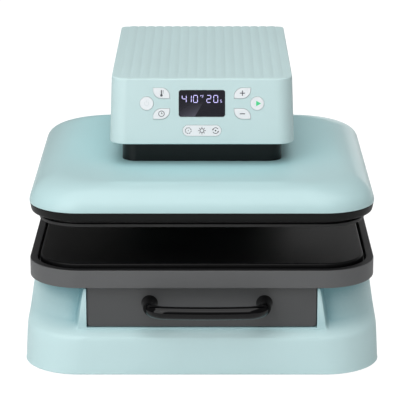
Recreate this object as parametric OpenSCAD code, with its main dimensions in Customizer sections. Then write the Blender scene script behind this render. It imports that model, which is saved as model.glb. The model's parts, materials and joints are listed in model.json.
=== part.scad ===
// Automatic heat press with a motor-driven upper platen and a pull-out lower platen.
// Millimetres, +Z up, the front faces -Y, the origin is under the middle of the part on the table.

/* [Heating plate] */
// Side of the square heating plate
plate_size = 381; // [360:1:400]
// Plan corner radius of the heating plate
plate_corner = 50; // [42:1:56]
// Thickness of the heating plate
plate_t = 12; // [10:0.5:13]
// Gap between the raised heating plate and the pad
opening = 43.6; // [36:0.2:44]

/* [Platen cover] */
// Height of the cover's rolled edge
cover_rise = 28; // [25:0.5:32]
// Inward reach of the cover's rolled edge
cover_roll = 40; // [30:1:46]
// Height of the black skirt under the cover
skirt_h = 10.5; // [9:0.5:13]

/* [Head] */
// Width of the head at its lower edge
head_w = 220; // [216:1:226]
// Height of the head
head_h = 76.4; // [76:0.2:88]
// Backward lean of the control panel in degrees
panel_tilt = 12; // [8:1:15]
// Height of neck that shows under the head
neck_show = 26; // [20:1:32]
// How far the head stands out past the neck on each side
neck_side = 14; // [13.5:0.5:16]
// Depth of the neck
neck_d = 142; // [138:1:146]
// Number of ribs along the top
rib_count = 17; // [11:2:17]
// Height of each rib
rib_rise = 0.8; // [0.3:0.1:1]

/* [Base and drawer] */
// How far the base stands out past the tray on each side
base_flare = 7.2; // [6:0.1:11]
// Height of the deck of the base
base_top = 104; // [100:1:112]
// Height of the tray
tray_h = 21.7; // [20:0.1:26]
// How far the pad stands above the tray's rim
pad_proud = 5; // [3:0.5:7]
// How far the drawer pulls out
drawer_travel = 250; // [180:10:260]

/* [Handle] */
// Overall width of the handle
handle_w = 153; // [130:1:170]
// Distance from the drawer front to the middle of the bar
handle_reach = 34; // [30:1:40]
// Thickness of the bar
handle_d = 15; // [12:0.5:16]
// How far the bar bows out in its middle
handle_bow = 4; // [2:0.5:6]
// How far the handle sits to the right of the drawer's middle
handle_shift = 6; // [0:0.2:10]

/* [Drive] */
// Diameter of the lead screw
screw_d = 18; // [16:0.5:20]
// Teeth on the screw's gear
gear_teeth = 51; // [48:1:54]
// Teeth on the motor's pinion
pinion_teeth = 17; // [17:1:19]
// Diameter of the guide rods
rod_d = 12; // [10:0.5:13]

/* [Controls] */
// Width of the display window
display_w = 54.6; // [50:0.2:60]
// Height of the display window
display_h = 31.4; // [28:0.2:33]
// Diameter of the round keys
round_key_d = 15.9; // [14:0.1:16.5]
// Width of the leaf keys
leaf_w = 19.5; // [17:0.1:20]
// Height of the leaf keys
leaf_h = 12.4; // [11:0.1:13]

/* [Hidden] */

// Smoothness
$fn = 64;
corner_steps = 12;
roll_steps = 9;

// Colours
mint = [0.56, 0.77, 0.77];
black = [0.05, 0.05, 0.06];
grey = [0.2, 0.21, 0.22];
steel = [0.62, 0.64, 0.66];
dark_steel = [0.38, 0.4, 0.42];
white = [0.88, 0.9, 0.91];
brass = [0.78, 0.62, 0.3];
board_green = [0.1, 0.34, 0.22];

// Clearances and walls
wall = 3;
slip = 0.3;
run_gap = 0.05;
overlap = 1;

// Plan sizes
tray_margin = 12.2;
tray_size = plate_size + 2 * tray_margin;
tray_corner = plate_corner + tray_margin;
cover_margin = 11.5;
cover_size = plate_size + 2 * cover_margin;
cover_corner = plate_corner + cover_margin - 1;
base_w = tray_size + 2 * base_flare;
base_corner = tray_corner + 12.3;
column_gap = 5;
column_d = 38;
column_y0 = cover_size / 2 + column_gap;
column_y1 = column_y0 + column_d;
base_y0 = -tray_size / 2 - 6.3;
base_y1 = column_y1 + 8;

// Levels, from the table up
foot_h = 3;
base_lift = 2;
plate_floor_z = foot_h;
floor_t = 2;
floor_top = plate_floor_z + floor_t;
tray_z = base_top + 2;
tray_top = tray_z + tray_h;
pad_top = tray_top + pad_proud;
plate_z = pad_top + opening;
plate_top = plate_z + plate_t;
plate_show = 9.2;
skirt_z = plate_z + plate_show;
cover_z = skirt_z + skirt_h;
cover_top = cover_z + cover_rise;
head_z = cover_top + neck_show;
head_top = head_z + head_h;
lid_t = 3;
lid_z = head_top - lid_t;
stop_gap = 0.3;
stroke = opening - stop_gap;

// Head plan
neck_w = head_w - 2 * neck_side;
neck_corner = 18;
neck_wall = 2.5;
head_corner = 20;
head_draft = 2.3;
head_overhang = 22;
head_y0 = -neck_d / 2 - head_overhang;
rear_corner = 8;
panel_len = head_h / cos(panel_tilt);

// Drawer and slides
drawer_w = 0.7 * plate_size;
drawer_h = 48.2;
drawer_z = base_top + 1.5 - drawer_h;
drawer_y = -tray_size / 2 + 7.7;
drawer_t = 10;
slide_w = 13;
chassis_t = 2;
chassis_x = drawer_w / 2 - slide_w;
chassis_y0 = drawer_y + drawer_t;
chassis_y1 = tray_size / 2 - 21.7;
slide_len = drawer_travel + 100;
slide_h = 45;
slide_t = 1.5;
slide_z = drawer_z - slip + slide_h / 2;
slide_y0 = chassis_y0 + 2;
bracket_x = chassis_x + slide_w;
bracket_t = 3;
deck_x = bracket_x + bracket_t + 3;
deck_y0 = drawer_y + 20;
deck_y1 = chassis_y1 + 5;

// Steel frame
frame_t = 5;
frame_x = neck_w / 2 + 2;
frame_y0 = -45;
frame_col_y0 = column_y0 + wall + 2;
frame_col_y1 = column_y1 - wall - 2;
frame_arm_z = head_z + 13;
frame_arm_top = lid_z - 4;
frame_foot_top = 50;
frame_hole_r = 12;

// Drive line
bridge_t = 6;
neck_top = head_z + stroke + 5;
bridge_z = neck_top + 2.5;
bridge_top = bridge_z + bridge_t;
tooth_module = 1.25;
gear_t = 9;
gear_z = bridge_top + 1.5;
gear_pitch_r = tooth_module * gear_teeth / 2;
pinion_pitch_r = tooth_module * pinion_teeth / 2;
motor_y = gear_pitch_r + pinion_pitch_r;
bearing_t = 4;
collar_t = 5;
collar_z = bridge_z - bearing_t - collar_t;
nut_len = 22;
nut_z = collar_z - 2.5 - nut_len;
nut_od = screw_d + 18;
screw_z = nut_z - stroke + 2;
screw_top = gear_z + gear_t + 2;
rod_room = 22.5;
rod_x = neck_w / 2 - neck_wall - rod_room;
rod_top = screw_top;
bush_od = rod_d + 9;
bush_len = 50;
motor_shaft_d = 8;

// Inside the platen
element_d = 6;
blanket_t = 11;
platen_bridge_z = plate_top + element_d + blanket_t + 0.4;
platen_bridge_t = 6;
platen_bridge_top = platen_bridge_z + platen_bridge_t;
platen_bridge_x = 160;
platen_bridge_y = neck_d / 2 + 9;
post_d = 14;
post_x = 140;
post_y = 60;

// Control panel, measured across and up the leaning face
display_s = 0.622 * panel_len;
window_r = 2.7;
round_key_x = 65.6;
leaf_x = 48;
leaf_rise = 12.2;
leaf_round = 10;
strip_w = 45.7;
strip_h = 12.8;
strip_s = 0.21 * panel_len;
key_proud = 0.8;
key_travel = 0.8;
key_flange = 1;
board_depth = 6.5;
board_t = 1.6;
switch_gap = 0.1;

// Rear fittings
inlet_x = -50;
inlet_z = base_top + 30;
rocker_x = 45;

// The whole part is centred on the table: the handle is its front, the base its rear
handle_front = drawer_y - handle_reach - handle_bow - handle_d / 2;
platen_y = -(handle_front + base_y1) / 2;

module in_frame() {
    translate([0, platen_y, 0]) children();
}

module both_sides() {
    children();
    mirror([1, 0, 0]) children();
}

// A rectangle with round corners, as flat outline
module round_rect(w, d, r) {
    square([w - 2 * r, d], center = true);
    square([w, d - 2 * r], center = true);
    for (x = [-1, 1], y = [-1, 1]) translate([x * (w / 2 - r), y * (d / 2 - r)]) circle(r);
}

module round_block(w, d, h, r) {
    linear_extrude(h) round_rect(w, d, r);
}

// A blade terminal
module tab() {
    translate([-1.5, -0.4, 0]) cube([3, 0.8, 5]);
}

// One ring of a lofted shell: a rounded rectangle from its half width, front, rear and corner radius
function ring(half_w, y0, y1, r) = [
    for (quarter = [0:3], step = [0:corner_steps])
        let (
            angle = quarter * 90 + step * 90 / corner_steps,
            x = (quarter == 0 || quarter == 3 ? 1 : -1) * (half_w - r),
            y = quarter < 2 ? y1 - r : y0 + r
        )
        [x + r * cos(angle), y + r * sin(angle)]
];

// A closed solid through rings of points, each ring turning left as seen from the end it leads to
module skin(rings) {
    count = len(rings[0]);
    last = len(rings) - 1;
    sides = [
        for (k = [0:last - 1], i = [0:count - 1])
            let (a = k * count + i, b = k * count + (i + 1) % count)
            each [[a, a + count, b + count], [a, b + count, b]]
    ];
    start = [for (i = [0:count - 1]) i];
    end = [for (i = [count - 1:-1:0]) last * count + i];
    polyhedron([for (r = rings) each r], concat([start, end], sides));
}

// A solid lofted upwards, each ring given as [level, half width, front, rear, corner radius]
module loft(rings) {
    skin([for (s = rings) [for (p = ring(s[1], s[2], s[3], s[4])) [p[0], p[1], s[0]]]]);
}

// A ring around the platen's middle
function square_ring(z, half, r) = [z, half, -half, half, r];

function pad_ring(z, inset) = square_ring(z, plate_size / 2 - inset, plate_corner - min(inset, 10));

// A point on the leaning panel: x across, s up the slope, y into the head
module on_panel(x, s) {
    translate([0, head_y0, head_z]) rotate([-panel_tilt, 0, 0]) translate([x, 0, s]) children();
}

// Extrudes a flat outline through the panel, from depth y0 to depth y1
module through_panel(y0, y1) {
    translate([0, y1, 0]) rotate([90, 0, 0]) linear_extrude(y1 - y0) children();
}

// Base shell, lofted with a soft skirt and scooped corners

// Each step of the base's profile: level as a share of the deck, then how far sides, front and rear draw in
base_profile = [
    [0.04, 0, 0, 0],
    [0.42, 0, 0, 0],
    [0.46, 0.5, 1, 0.3],
    [0.48, 1, 4, 0.6],
    [0.51, 1.9, 10.5, 1],
    [0.55, 3, 17, 2],
    [0.62, 4.6, 23.5, 3],
    [0.74, 7, 28, 4],
    [1, 11, 31, 6]
];
base_edge = 1.5;

function base_ring(level, side, front, rear) =
    [level, base_w / 2 - side, base_y0 + front, base_y1 - rear, base_corner];

function base_rings(inset) = concat(
    [base_ring(base_lift, base_edge + inset, base_edge + inset, base_edge + inset)],
    [for (s = base_profile) base_ring(s[0] * base_top, s[1] + inset, s[2] + inset, s[3] + inset)]
);

function lowered(rings, drop) = [for (s = rings) [s[0] - drop, s[1], s[2], s[3], s[4]]];

boss_side = 6;
boss_flare = 9.5;
boss_depth = 34;
boss_y = drawer_y - 2;
mouth_depth = 90;

module drawer_boss() {
    half = drawer_w / 2 + boss_side;
    low = 0.44 * base_top;
    translate([0, boss_y + boss_depth, 0]) rotate([90, 0, 0]) linear_extrude(boss_depth)
        polygon([[-half - boss_flare, low], [half + boss_flare, low], [half, base_top], [-half, base_top]]);
}

module drawer_mouth() {
    half = drawer_w / 2 + 1;
    translate([-half, base_y0 - overlap, drawer_z - 1]) cube([2 * half, mouth_depth, base_top]);
}

// The slot that the frame's upright passes through, in the deck and in the head's floor
module frame_slot(z) {
    half = frame_x + frame_t + slip;
    translate([-half, frame_col_y0 - slip, z])
        cube([2 * half, frame_col_y1 - frame_col_y0 + 2 * slip, 4 * wall]);
}

module base_shell() {
    color(mint) in_frame() difference() {
        union() {
            difference() {
                loft(base_rings(0));
                loft(lowered(base_rings(wall), wall));
            }
            drawer_boss();
        }
        drawer_mouth();
        translate([-deck_x, deck_y0, base_top - 2 * wall]) cube([2 * deck_x, deck_y1 - deck_y0, 4 * wall]);
        frame_slot(base_top - 2 * wall);
    }
}

foot_inset = 46;
foot_x = base_w / 2 - foot_inset;
foot_d = 26;
base_screw_x = frame_x + frame_t + 10;

module foot_places() {
    for (x = [-foot_x, foot_x], y = [base_y0 + foot_inset, base_y1 - foot_inset]) translate([x, y, 0])
        children();
}

module base_screw_places() {
    for (x = [-base_screw_x, base_screw_x], y = [base_y0 + 90, 0, base_y1 - 70])
        translate([x, y, 0]) children();
}

screw_shank_d = 4;

module base_plate() {
    inset = wall + 2.2;
    color(steel) in_frame() difference() {
        translate([0, (base_y0 + base_y1) / 2, plate_floor_z])
            round_block(base_w - 2 * inset, base_y1 - base_y0 - 2 * inset, floor_t, base_corner - inset);
        base_screw_places() translate([0, 0, plate_floor_z - overlap])
            cylinder(d = screw_shank_d + 0.2, h = floor_t + 2 * overlap);
    }
}

module rubber_feet() {
    color(black) in_frame() foot_places() {
        cylinder(d1 = foot_d - 3, d2 = foot_d, h = foot_h / 2);
        translate([0, 0, foot_h / 2]) cylinder(d = foot_d, h = foot_h / 2);
    }
}

module base_screws() {
    color(dark_steel) in_frame() base_screw_places() {
        translate([0, 0, foot_h - 2]) cylinder(d = 8, h = 2);
        translate([0, 0, foot_h]) cylinder(d = screw_shank_d, h = floor_t);
    }
}

// Steel frame: two C-shaped plates, tie bars and the bridge that carries the drive

module frame_outline() {
    foot_curve = 26;
    arm_curve = frame_arm_z - head_z - wall - 2;
    difference() {
        polygon([
            [base_y0 + 70, floor_top], [frame_col_y1, floor_top], [frame_col_y1, frame_arm_top],
            [frame_y0 + 24, frame_arm_top], [frame_y0, frame_arm_top - 18], [frame_y0, frame_arm_z],
            [frame_col_y0 - arm_curve, frame_arm_z], [frame_col_y0, frame_arm_z - arm_curve],
            [frame_col_y0, frame_foot_top + foot_curve], [frame_col_y0 - foot_curve, frame_foot_top],
            [base_y0 + 90, frame_foot_top], [base_y0 + 70, frame_foot_top - 20]
        ]);
        for (y = [base_y0 + 110 : 60 : frame_col_y0 - 40])
            translate([y, (floor_top + frame_foot_top) / 2]) circle(frame_hole_r);
        for (y = [70 : 45 : frame_col_y0 - 20])
            translate([y, (frame_arm_z + frame_arm_top) / 2]) circle(frame_hole_r);
    }
}

module frame_plate() {
    translate([frame_x, 0, 0]) rotate([90, 0, 90]) linear_extrude(frame_t) frame_outline();
}

module frame_plate_left() {
    color(dark_steel) in_frame() mirror([1, 0, 0]) frame_plate();
}

module frame_plate_right() {
    color(dark_steel) in_frame() frame_plate();
}

tie_h = 25;
tie_t = 12;

module frame_tie_bars() {
    column_mid = (frame_col_y0 + frame_col_y1) / 2;
    places = [[base_y0 + 80, floor_top + 6], [20, floor_top + 6], [column_mid - tie_t / 2, base_top + 60],
        [column_mid - tie_t / 2, head_z - 20]];
    color(dark_steel) in_frame() for (p = places)
        translate([-frame_x, p[0], p[1]]) cube([2 * frame_x, tie_t, tie_h]);
}

bridge_y0 = -32;
bridge_y1 = motor_y + 28;
bridge_flange = 12;

module frame_bridge() {
    color(dark_steel) in_frame() difference() {
        union() {
            translate([-frame_x, bridge_y0, bridge_z]) cube([2 * frame_x, bridge_y1 - bridge_y0, bridge_t]);
            both_sides() translate([frame_x - 4, bridge_y0, bridge_top - overlap])
                cube([4, bridge_y1 - bridge_y0, bridge_flange + overlap]);
        }
        translate([0, 0, bridge_z - overlap]) {
            cylinder(d = screw_d + 2 * run_gap, h = bridge_t + 2 * overlap);
            translate([0, motor_y, 0]) cylinder(d = motor_shaft_d + 4, h = bridge_t + 2 * overlap);
            both_sides() translate([rod_x, 0, 0]) cylinder(d = rod_d + 2, h = bridge_t + 2 * overlap);
        }
    }
}

// Telescopic slides: nested channels, the outer one fixed and the inner one on the drawer

// A channel open towards the drawer, between depths x0 and x1, with its web at x1
module channel(x0, x1, half_h) {
    difference() {
        translate([x0, 0, -half_h]) cube([x1 - x0, slide_len, 2 * half_h]);
        translate([x0 - overlap, -overlap, -half_h + slide_t])
            cube([x1 - x0 - slide_t + overlap, slide_len + 2 * overlap, 2 * (half_h - slide_t)]);
    }
}

module slide_place() {
    translate([chassis_x, slide_y0, slide_z]) children();
}

middle_half_h = slide_h / 2 - slide_t - slip;
inner_half_h = middle_half_h - slide_t - slip;
middle_x1 = slide_w - slide_t - slip;
inner_x1 = middle_x1 - slide_t - slip;

module slide_outer() {
    slide_place() channel(2, slide_w, slide_h / 2);
}

module slide_middle() {
    slide_place() channel(3, middle_x1, middle_half_h);
}

// The inner member is turned round, with its web on the drawer
module slide_inner() {
    slide_place() translate([inner_x1, 0, 0]) mirror([1, 0, 0]) channel(0, inner_x1, inner_half_h);
}

module slide_outer_left() {
    color(steel) in_frame() mirror([1, 0, 0]) slide_outer();
}

module slide_outer_right() {
    color(steel) in_frame() slide_outer();
}

module slide_middle_left() {
    color(steel) in_frame() mirror([1, 0, 0]) slide_middle();
}

module slide_middle_right() {
    color(steel) in_frame() slide_middle();
}

module slide_inner_left() {
    color(steel) in_frame() mirror([1, 0, 0]) slide_inner();
}

module slide_inner_right() {
    color(steel) in_frame() slide_inner();
}

module slide_bracket() {
    setback = 30;
    foot_w = 22;
    length = slide_len - setback - 20;
    top = slide_z + slide_h / 2;
    translate([bracket_x, slide_y0 + setback, floor_top]) {
        cube([bracket_t, length, top - floor_top]);
        cube([foot_w, length, bracket_t]);
    }
}

module slide_bracket_left() {
    color(dark_steel) in_frame() mirror([1, 0, 0]) slide_bracket();
}

module slide_bracket_right() {
    color(dark_steel) in_frame() slide_bracket();
}

// Drawer: a folded chassis that carries the tray, the pad and the front

chassis_top = tray_z;
chassis_z = drawer_z + 3;
chassis_hole = 60;
chassis_hole_r = 36;

module drawer_chassis() {
    length = chassis_y1 - chassis_y0;
    color(steel) in_frame() difference() {
        translate([-chassis_x, chassis_y0, chassis_z]) cube([2 * chassis_x, length, chassis_top - chassis_z]);
        translate([-chassis_x + chassis_t, chassis_y0 + chassis_t, chassis_z - overlap])
            cube([2 * (chassis_x - chassis_t), length, chassis_top - chassis_z - chassis_t + overlap]);
        for (x = [-1, 1], y = [-1.2, 1.2])
            translate([x * chassis_hole, y * chassis_hole, chassis_top - 2 * chassis_t])
                cylinder(r = chassis_hole_r, h = 3 * chassis_t);
        handle_leg_places(chassis_y0 - overlap) cylinder(d = screw_head_d + 4, h = chassis_t + 2 * overlap);
    }
}

tray_floor_z = tray_z + 8;
tray_floor_t = 4;
tray_wall = 4;
tray_cells = 4;

module tray() {
    pitch = (tray_size - 2 * tray_wall - 40) / tray_cells;
    pocket = pitch - tray_wall;
    recess = tray_floor_z + tray_floor_t;
    recess_size = plate_size + 6.6;
    cells = [for (i = [0:tray_cells - 1]) (i - (tray_cells - 1) / 2) * pitch - pocket / 2];
    color(grey) in_frame() difference() {
        translate([0, 0, tray_z]) round_block(tray_size, tray_size, tray_h, tray_corner);
        translate([0, 0, recess]) round_block(recess_size, recess_size, tray_h, plate_corner + 3);
        for (x = cells, y = cells) translate([x, y, tray_z - overlap])
            cube([pocket, pocket, tray_floor_z - tray_z + overlap]);
    }
}

pad_crown = 0.6;
pad_edge = 3;

// The pad's profile: a tucked-in foot, straight sides, a rolled edge and a low crown
module lower_pad() {
    base = tray_floor_z + tray_floor_t;
    shoulder = pad_top - pad_crown;
    color(black) in_frame() loft([
        pad_ring(base, 1),
        pad_ring(base + 2, 0),
        pad_ring(shoulder - pad_edge, 0),
        pad_ring(shoulder - 0.5 * pad_edge, 0.13 * pad_edge),
        pad_ring(shoulder - 0.13 * pad_edge, 0.5 * pad_edge),
        pad_ring(shoulder, pad_edge),
        pad_ring(pad_top - 0.3 * pad_crown, 14),
        pad_ring(pad_top, 40)
    ]);
}

handle_root_d = 19.4;
handle_z = drawer_z + 28.5;
handle_bend = handle_d / 2 + 8;
handle_leg_x = (handle_w - handle_root_d) / 2;
handle_arc = pow(handle_leg_x, 2) / (2 * handle_bow) + handle_bow / 2;
handle_screw_d = 5;
screw_head_d = 10;
screw_bore = 12;
front_wall = 4;

// Where the handle's screws lie, at depth y
module handle_leg_places(y) {
    translate([handle_shift, y, handle_z]) both_sides() translate([handle_leg_x, 0, 0]) rotate([-90, 0, 0])
        children();
}

module drawer_front() {
    color(grey) in_frame() difference() {
        translate([0, drawer_y + drawer_t, drawer_z + drawer_h / 2]) rotate([90, 0, 0])
            round_block(drawer_w, drawer_h, drawer_t, 4);
        translate([0, drawer_y + drawer_t + overlap, drawer_z + drawer_h / 2]) rotate([90, 0, 0])
            round_block(drawer_w - 2 * front_wall, drawer_h - 2 * front_wall,
                drawer_t - front_wall + overlap, 2);
        handle_leg_places(drawer_y - overlap) cylinder(d = handle_screw_d + 0.2, h = drawer_t);
    }
}

handle_steps = 6;
handle_sides = 24;
handle_turn = asin((handle_leg_x - handle_bend) / (handle_arc - handle_bend));
handle_arc_y = drawer_y - handle_reach - handle_bow + handle_arc;
handle_bend_y = handle_arc_y - (handle_arc - handle_bend) * cos(handle_turn);

// Half of the handle's path from a leg's root to the bar's middle, as [centre, outward direction, radius]
handle_half = concat(
    [for (k = [0:2])
        let (t = k / 3, r = handle_root_d / 2 * (1 - t) + handle_d / 2 * t)
        [[handle_leg_x, drawer_y * (1 - t) + handle_bend_y * t], [1, 0], r]],
    [for (k = [0:handle_steps])
        let (a = (90 - handle_turn) * k / handle_steps, out = [cos(a), -sin(a)])
        [[handle_leg_x - handle_bend, handle_bend_y] + handle_bend * out, out, handle_d / 2]],
    [for (k = [1:handle_steps - 1])
        let (a = handle_turn * (1 - k / handle_steps), out = [sin(a), -cos(a)])
        [[0, handle_arc_y] + handle_arc * out, out, handle_d / 2]]
);
handle_middle = [[0, handle_arc_y - handle_arc], [0, -1], handle_d / 2];

function mirrored(path) = [
    for (k = [len(path) - 1:-1:0])
        let (s = path[k])
        [[-s[0][0], s[0][1]], [-s[1][0], s[1][1]], s[2]]
];

function handle_ring(s) = [
    for (i = [0:handle_sides - 1])
        let (a = 360 * i / handle_sides)
        [handle_shift + s[0][0] + s[2] * cos(a) * s[1][0], s[0][1] + s[2] * cos(a) * s[1][1],
            handle_z + s[2] * sin(a)]
];

// The bar is a long arc, each end a tight bend that meets it smoothly, then a leg that widens to its root
module drawer_handle() {
    path = concat(handle_half, [handle_middle], mirrored(handle_half));
    color(black) in_frame() difference() {
        skin([for (s = path) handle_ring(s)]);
        handle_leg_places(drawer_y - screw_bore) cylinder(d = handle_screw_d + 0.2, h = screw_bore + overlap);
    }
}

module handle_screws() {
    bite = screw_bore - 1;
    color(steel) in_frame() handle_leg_places(drawer_y) {
        translate([0, 0, front_wall]) cylinder(d = screw_head_d, h = 3.5);
        translate([0, 0, -bite]) cylinder(d = handle_screw_d, h = bite + front_wall);
    }
}

// Upper platen

plate_lip = 4;
plate_step = 4;

// The plate has a thin lip around its lower edge
module heater_plate() {
    inner = plate_size - 2 * plate_step;
    color(grey) in_frame() translate([0, 0, plate_z]) {
        round_block(plate_size, plate_size, plate_lip, plate_corner);
        round_block(inner, inner, plate_t, plate_corner - plate_step);
    }
}

element_x = 100;
element_turn = 24;

// A tubular element that runs to and fro over the plate
module heating_element() {
    color(dark_steel) in_frame() translate([0, 0, plate_top + element_d / 2]) {
        for (k = [-2:2]) translate([-element_x, k * 2 * element_turn, 0]) rotate([0, 90, 0])
            cylinder(d = element_d, h = 2 * element_x);
        for (k = [-2:1])
            let (side = k % 2 == 0 ? 1 : -1)
            translate([side * element_x, (2 * k + 1) * element_turn, 0]) rotate([0, 0, -90 * side])
                rotate_extrude(angle = 180) translate([element_turn, 0]) circle(d = element_d);
    }
}

thermostat_y = 3 * element_turn;
thermostat_d = 16;
thermostat_h = 9;

module post_places() {
    for (x = [-post_x, post_x], y = [-post_y, post_y]) translate([x, y, 0]) children();
}

module insulation_blanket() {
    size = plate_size - 24;
    base = plate_top + element_d + 0.2;
    color(white) in_frame() difference() {
        translate([0, 0, base]) round_block(size, size, blanket_t, plate_corner - 12);
        translate([0, 0, base - overlap]) {
            post_places() cylinder(d = post_d + 1, h = blanket_t + 2 * overlap);
            translate([0, thermostat_y, 0]) cylinder(d = thermostat_d + 1, h = blanket_t + 2 * overlap);
        }
    }
}

module platen_posts() {
    color(steel) in_frame() post_places() translate([0, 0, plate_top])
        cylinder(d = post_d, h = platen_bridge_z - plate_top);
}

module thermostat() {
    color(white) in_frame() translate([0, thermostat_y, plate_top]) {
        cylinder(d = thermostat_d, h = thermostat_h);
        for (x = [-4, 4]) translate([x, 0, thermostat_h]) tab();
    }
}

module platen_bridge() {
    color(steel) in_frame() translate([0, 0, platen_bridge_z]) difference() {
        round_block(2 * platen_bridge_x, 2 * platen_bridge_y, platen_bridge_t, 14);
        for (x = [-110, 110]) translate([x, 0, -overlap]) cylinder(d = 24, h = platen_bridge_t + 2 * overlap);
        translate([0, thermostat_y, -overlap])
            cylinder(d = thermostat_d + 2, h = platen_bridge_t + 2 * overlap);
    }
}

function skirt_ring(z, inset) = square_ring(z, cover_size / 2 - inset, cover_corner - inset);

module platen_skirt() {
    gap = 0.6;
    hole = plate_size + 2 * gap;
    color(black) in_frame() difference() {
        loft([skirt_ring(skirt_z, 3), skirt_ring(skirt_z + 1.2, 1.9), skirt_ring(cover_z, 0.5)]);
        translate([0, 0, skirt_z - overlap])
            round_block(hole, hole, skirt_h + 2 * overlap, plate_corner + gap);
    }
}

function cover_rings(inset, drop) = [
    for (k = [0:roll_steps])
        let (angle = 90 * k / roll_steps, pull = cover_roll * (1 - cos(angle)))
        square_ring(cover_z - drop + (cover_rise - inset + drop) * sin(angle), cover_size / 2 - inset - pull,
            cover_corner - inset)
];

module platen_cover() {
    color(mint) in_frame() difference() {
        loft(cover_rings(0, 0));
        loft(cover_rings(wall, 0.5));
        translate([0, 0, cover_z])
            round_block(neck_w + 2 * slip, neck_d + 2 * slip, 2 * cover_rise, neck_corner + slip);
    }
}

module neck_sleeve() {
    height = neck_top - platen_bridge_top;
    color(black) in_frame() translate([0, 0, platen_bridge_top]) linear_extrude(height) difference() {
        round_rect(neck_w, neck_d, neck_corner);
        round_rect(neck_w - 2 * neck_wall, neck_d - 2 * neck_wall, neck_corner - neck_wall);
    }
}

// Drive line: a nut on a tube rides the lead screw, which hangs in the bridge and is turned through two gears

module nut_tube() {
    height = nut_z - platen_bridge_top;
    flange_t = 6;
    color(steel) in_frame() translate([0, 0, platen_bridge_top]) difference() {
        union() {
            cylinder(d = nut_od + 22, h = flange_t);
            cylinder(d = nut_od, h = height);
        }
        translate([0, 0, flange_t]) cylinder(d = screw_d + 6, h = height);
        for (a = [45:90:315]) rotate([0, 0, a]) translate([nut_od / 2 + 6, 0, -overlap])
            cylinder(d = 5, h = flange_t + 2 * overlap);
    }
}

module lift_nut() {
    color(brass) in_frame() translate([0, 0, nut_z]) difference() {
        cylinder(d = nut_od, h = nut_len);
        translate([0, 0, -overlap]) cylinder(d = screw_d + 2 * run_gap, h = nut_len + 2 * overlap);
    }
}

rod_foot_t = 8;

module guide_rods() {
    color(steel) in_frame() both_sides() translate([rod_x, 0, platen_bridge_top]) {
        cylinder(d = rod_d, h = rod_top - platen_bridge_top);
        cylinder(d = 2 * rod_d, h = rod_foot_t);
    }
}

module guide_bushes() {
    color(brass) in_frame() both_sides() translate([rod_x, 0, bridge_z - bush_len]) difference() {
        union() {
            cylinder(d = bush_od, h = bush_len);
            translate([0, 0, bush_len - 4]) cylinder(d = bush_od + 14, h = 4);
        }
        translate([0, 0, -overlap]) cylinder(d = rod_d + 2 * run_gap, h = bush_len + 2 * overlap);
    }
}

module thrust_bearing() {
    color(steel) in_frame() translate([0, 0, bridge_z - bearing_t]) difference() {
        cylinder(d = screw_d + 16, h = bearing_t);
        translate([0, 0, -overlap]) cylinder(d = screw_d + 2 * run_gap, h = bearing_t + 2 * overlap);
    }
}

module lead_screw() {
    color(steel) in_frame() {
        translate([0, 0, screw_z]) cylinder(d = screw_d, h = screw_top - screw_z);
        translate([0, 0, collar_z]) cylinder(d = screw_d + 14, h = collar_t);
    }
}

pressure_angle = 20;
flank_steps = 4;
gear_backlash = 0.12;

// The angle swept from the base circle to radius r along an involute
function involute(base_r, r) = let (t = sqrt(pow(r / base_r, 2) - 1)) t * 180 / PI - atan(t);

// Half the angle of a tooth at radius r
function half_tooth(teeth, r) =
    let (pitch_r = tooth_module * teeth / 2, base_r = pitch_r * cos(pressure_angle))
    90 / teeth - gear_backlash / pitch_r * 90 / PI
        + involute(base_r, pitch_r) - involute(base_r, max(r, base_r));

function tooth_radii(teeth) =
    let (
        pitch_r = tooth_module * teeth / 2,
        root = pitch_r - 1.25 * tooth_module,
        low = max(pitch_r * cos(pressure_angle), root) + 0.01,
        high = pitch_r + tooth_module
    )
    concat([root], [for (i = [0:flank_steps]) low + (high - low) * i / flank_steps]);

function gear_points(teeth) =
    let (radii = tooth_radii(teeth), last = len(radii) - 1)
    [for (tooth = [0:teeth - 1], side = [-1, 1], k = [0:last])
        let (r = radii[side < 0 ? k : last - k], a = tooth * 360 / teeth + side * half_tooth(teeth, r))
        [r * cos(a), r * sin(a)]];

module gear_outline(teeth) {
    polygon(gear_points(teeth));
}

module screw_gear() {
    web_r = gear_pitch_r - 2.5 * tooth_module;
    color(white) in_frame() translate([0, 0, gear_z]) difference() {
        linear_extrude(gear_t) difference() {
            gear_outline(gear_teeth);
            circle(d = screw_d);
        }
        for (z = [-overlap, gear_t - 2]) translate([0, 0, z]) difference() {
            cylinder(r = web_r - 2, h = 2 + overlap);
            translate([0, 0, -overlap]) cylinder(d = screw_d + 12, h = 2 + 3 * overlap);
        }
    }
}

// The pinion is turned so that one of its teeth sits in the nearest gap of the gear
module drive_pinion() {
    tooth_angle = 360 / gear_teeth;
    gap_angle = (floor(90 / tooth_angle) + 0.5) * tooth_angle - 90;
    color(brass) in_frame() translate([0, motor_y, 0]) {
        translate([0, 0, gear_z]) rotate([0, 0, -90 - gap_angle * gear_teeth / pinion_teeth])
            linear_extrude(gear_t) gear_outline(pinion_teeth);
        translate([0, 0, bridge_z]) cylinder(d = motor_shaft_d, h = gear_z - bridge_z + overlap);
    }
}

motor_box_d = 40;
motor_box_h = 24;
motor_can_d = 36;
motor_can_h = 30;

module lift_motor() {
    color(dark_steel) in_frame() translate([0, motor_y, bridge_z]) rotate([180, 0, 0]) {
        cylinder(d = motor_box_d, h = motor_box_h);
        translate([0, 0, motor_box_h]) cylinder(d = motor_can_d, h = motor_can_h);
        for (x = [-8, 8]) translate([x, 0, motor_box_h + motor_can_h]) tab();
    }
}

// Head: a shell with a leaning panel, a floor with the neck's opening, and a ribbed top

head_d = 1.25 * (column_y1 - head_y0);

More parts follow.
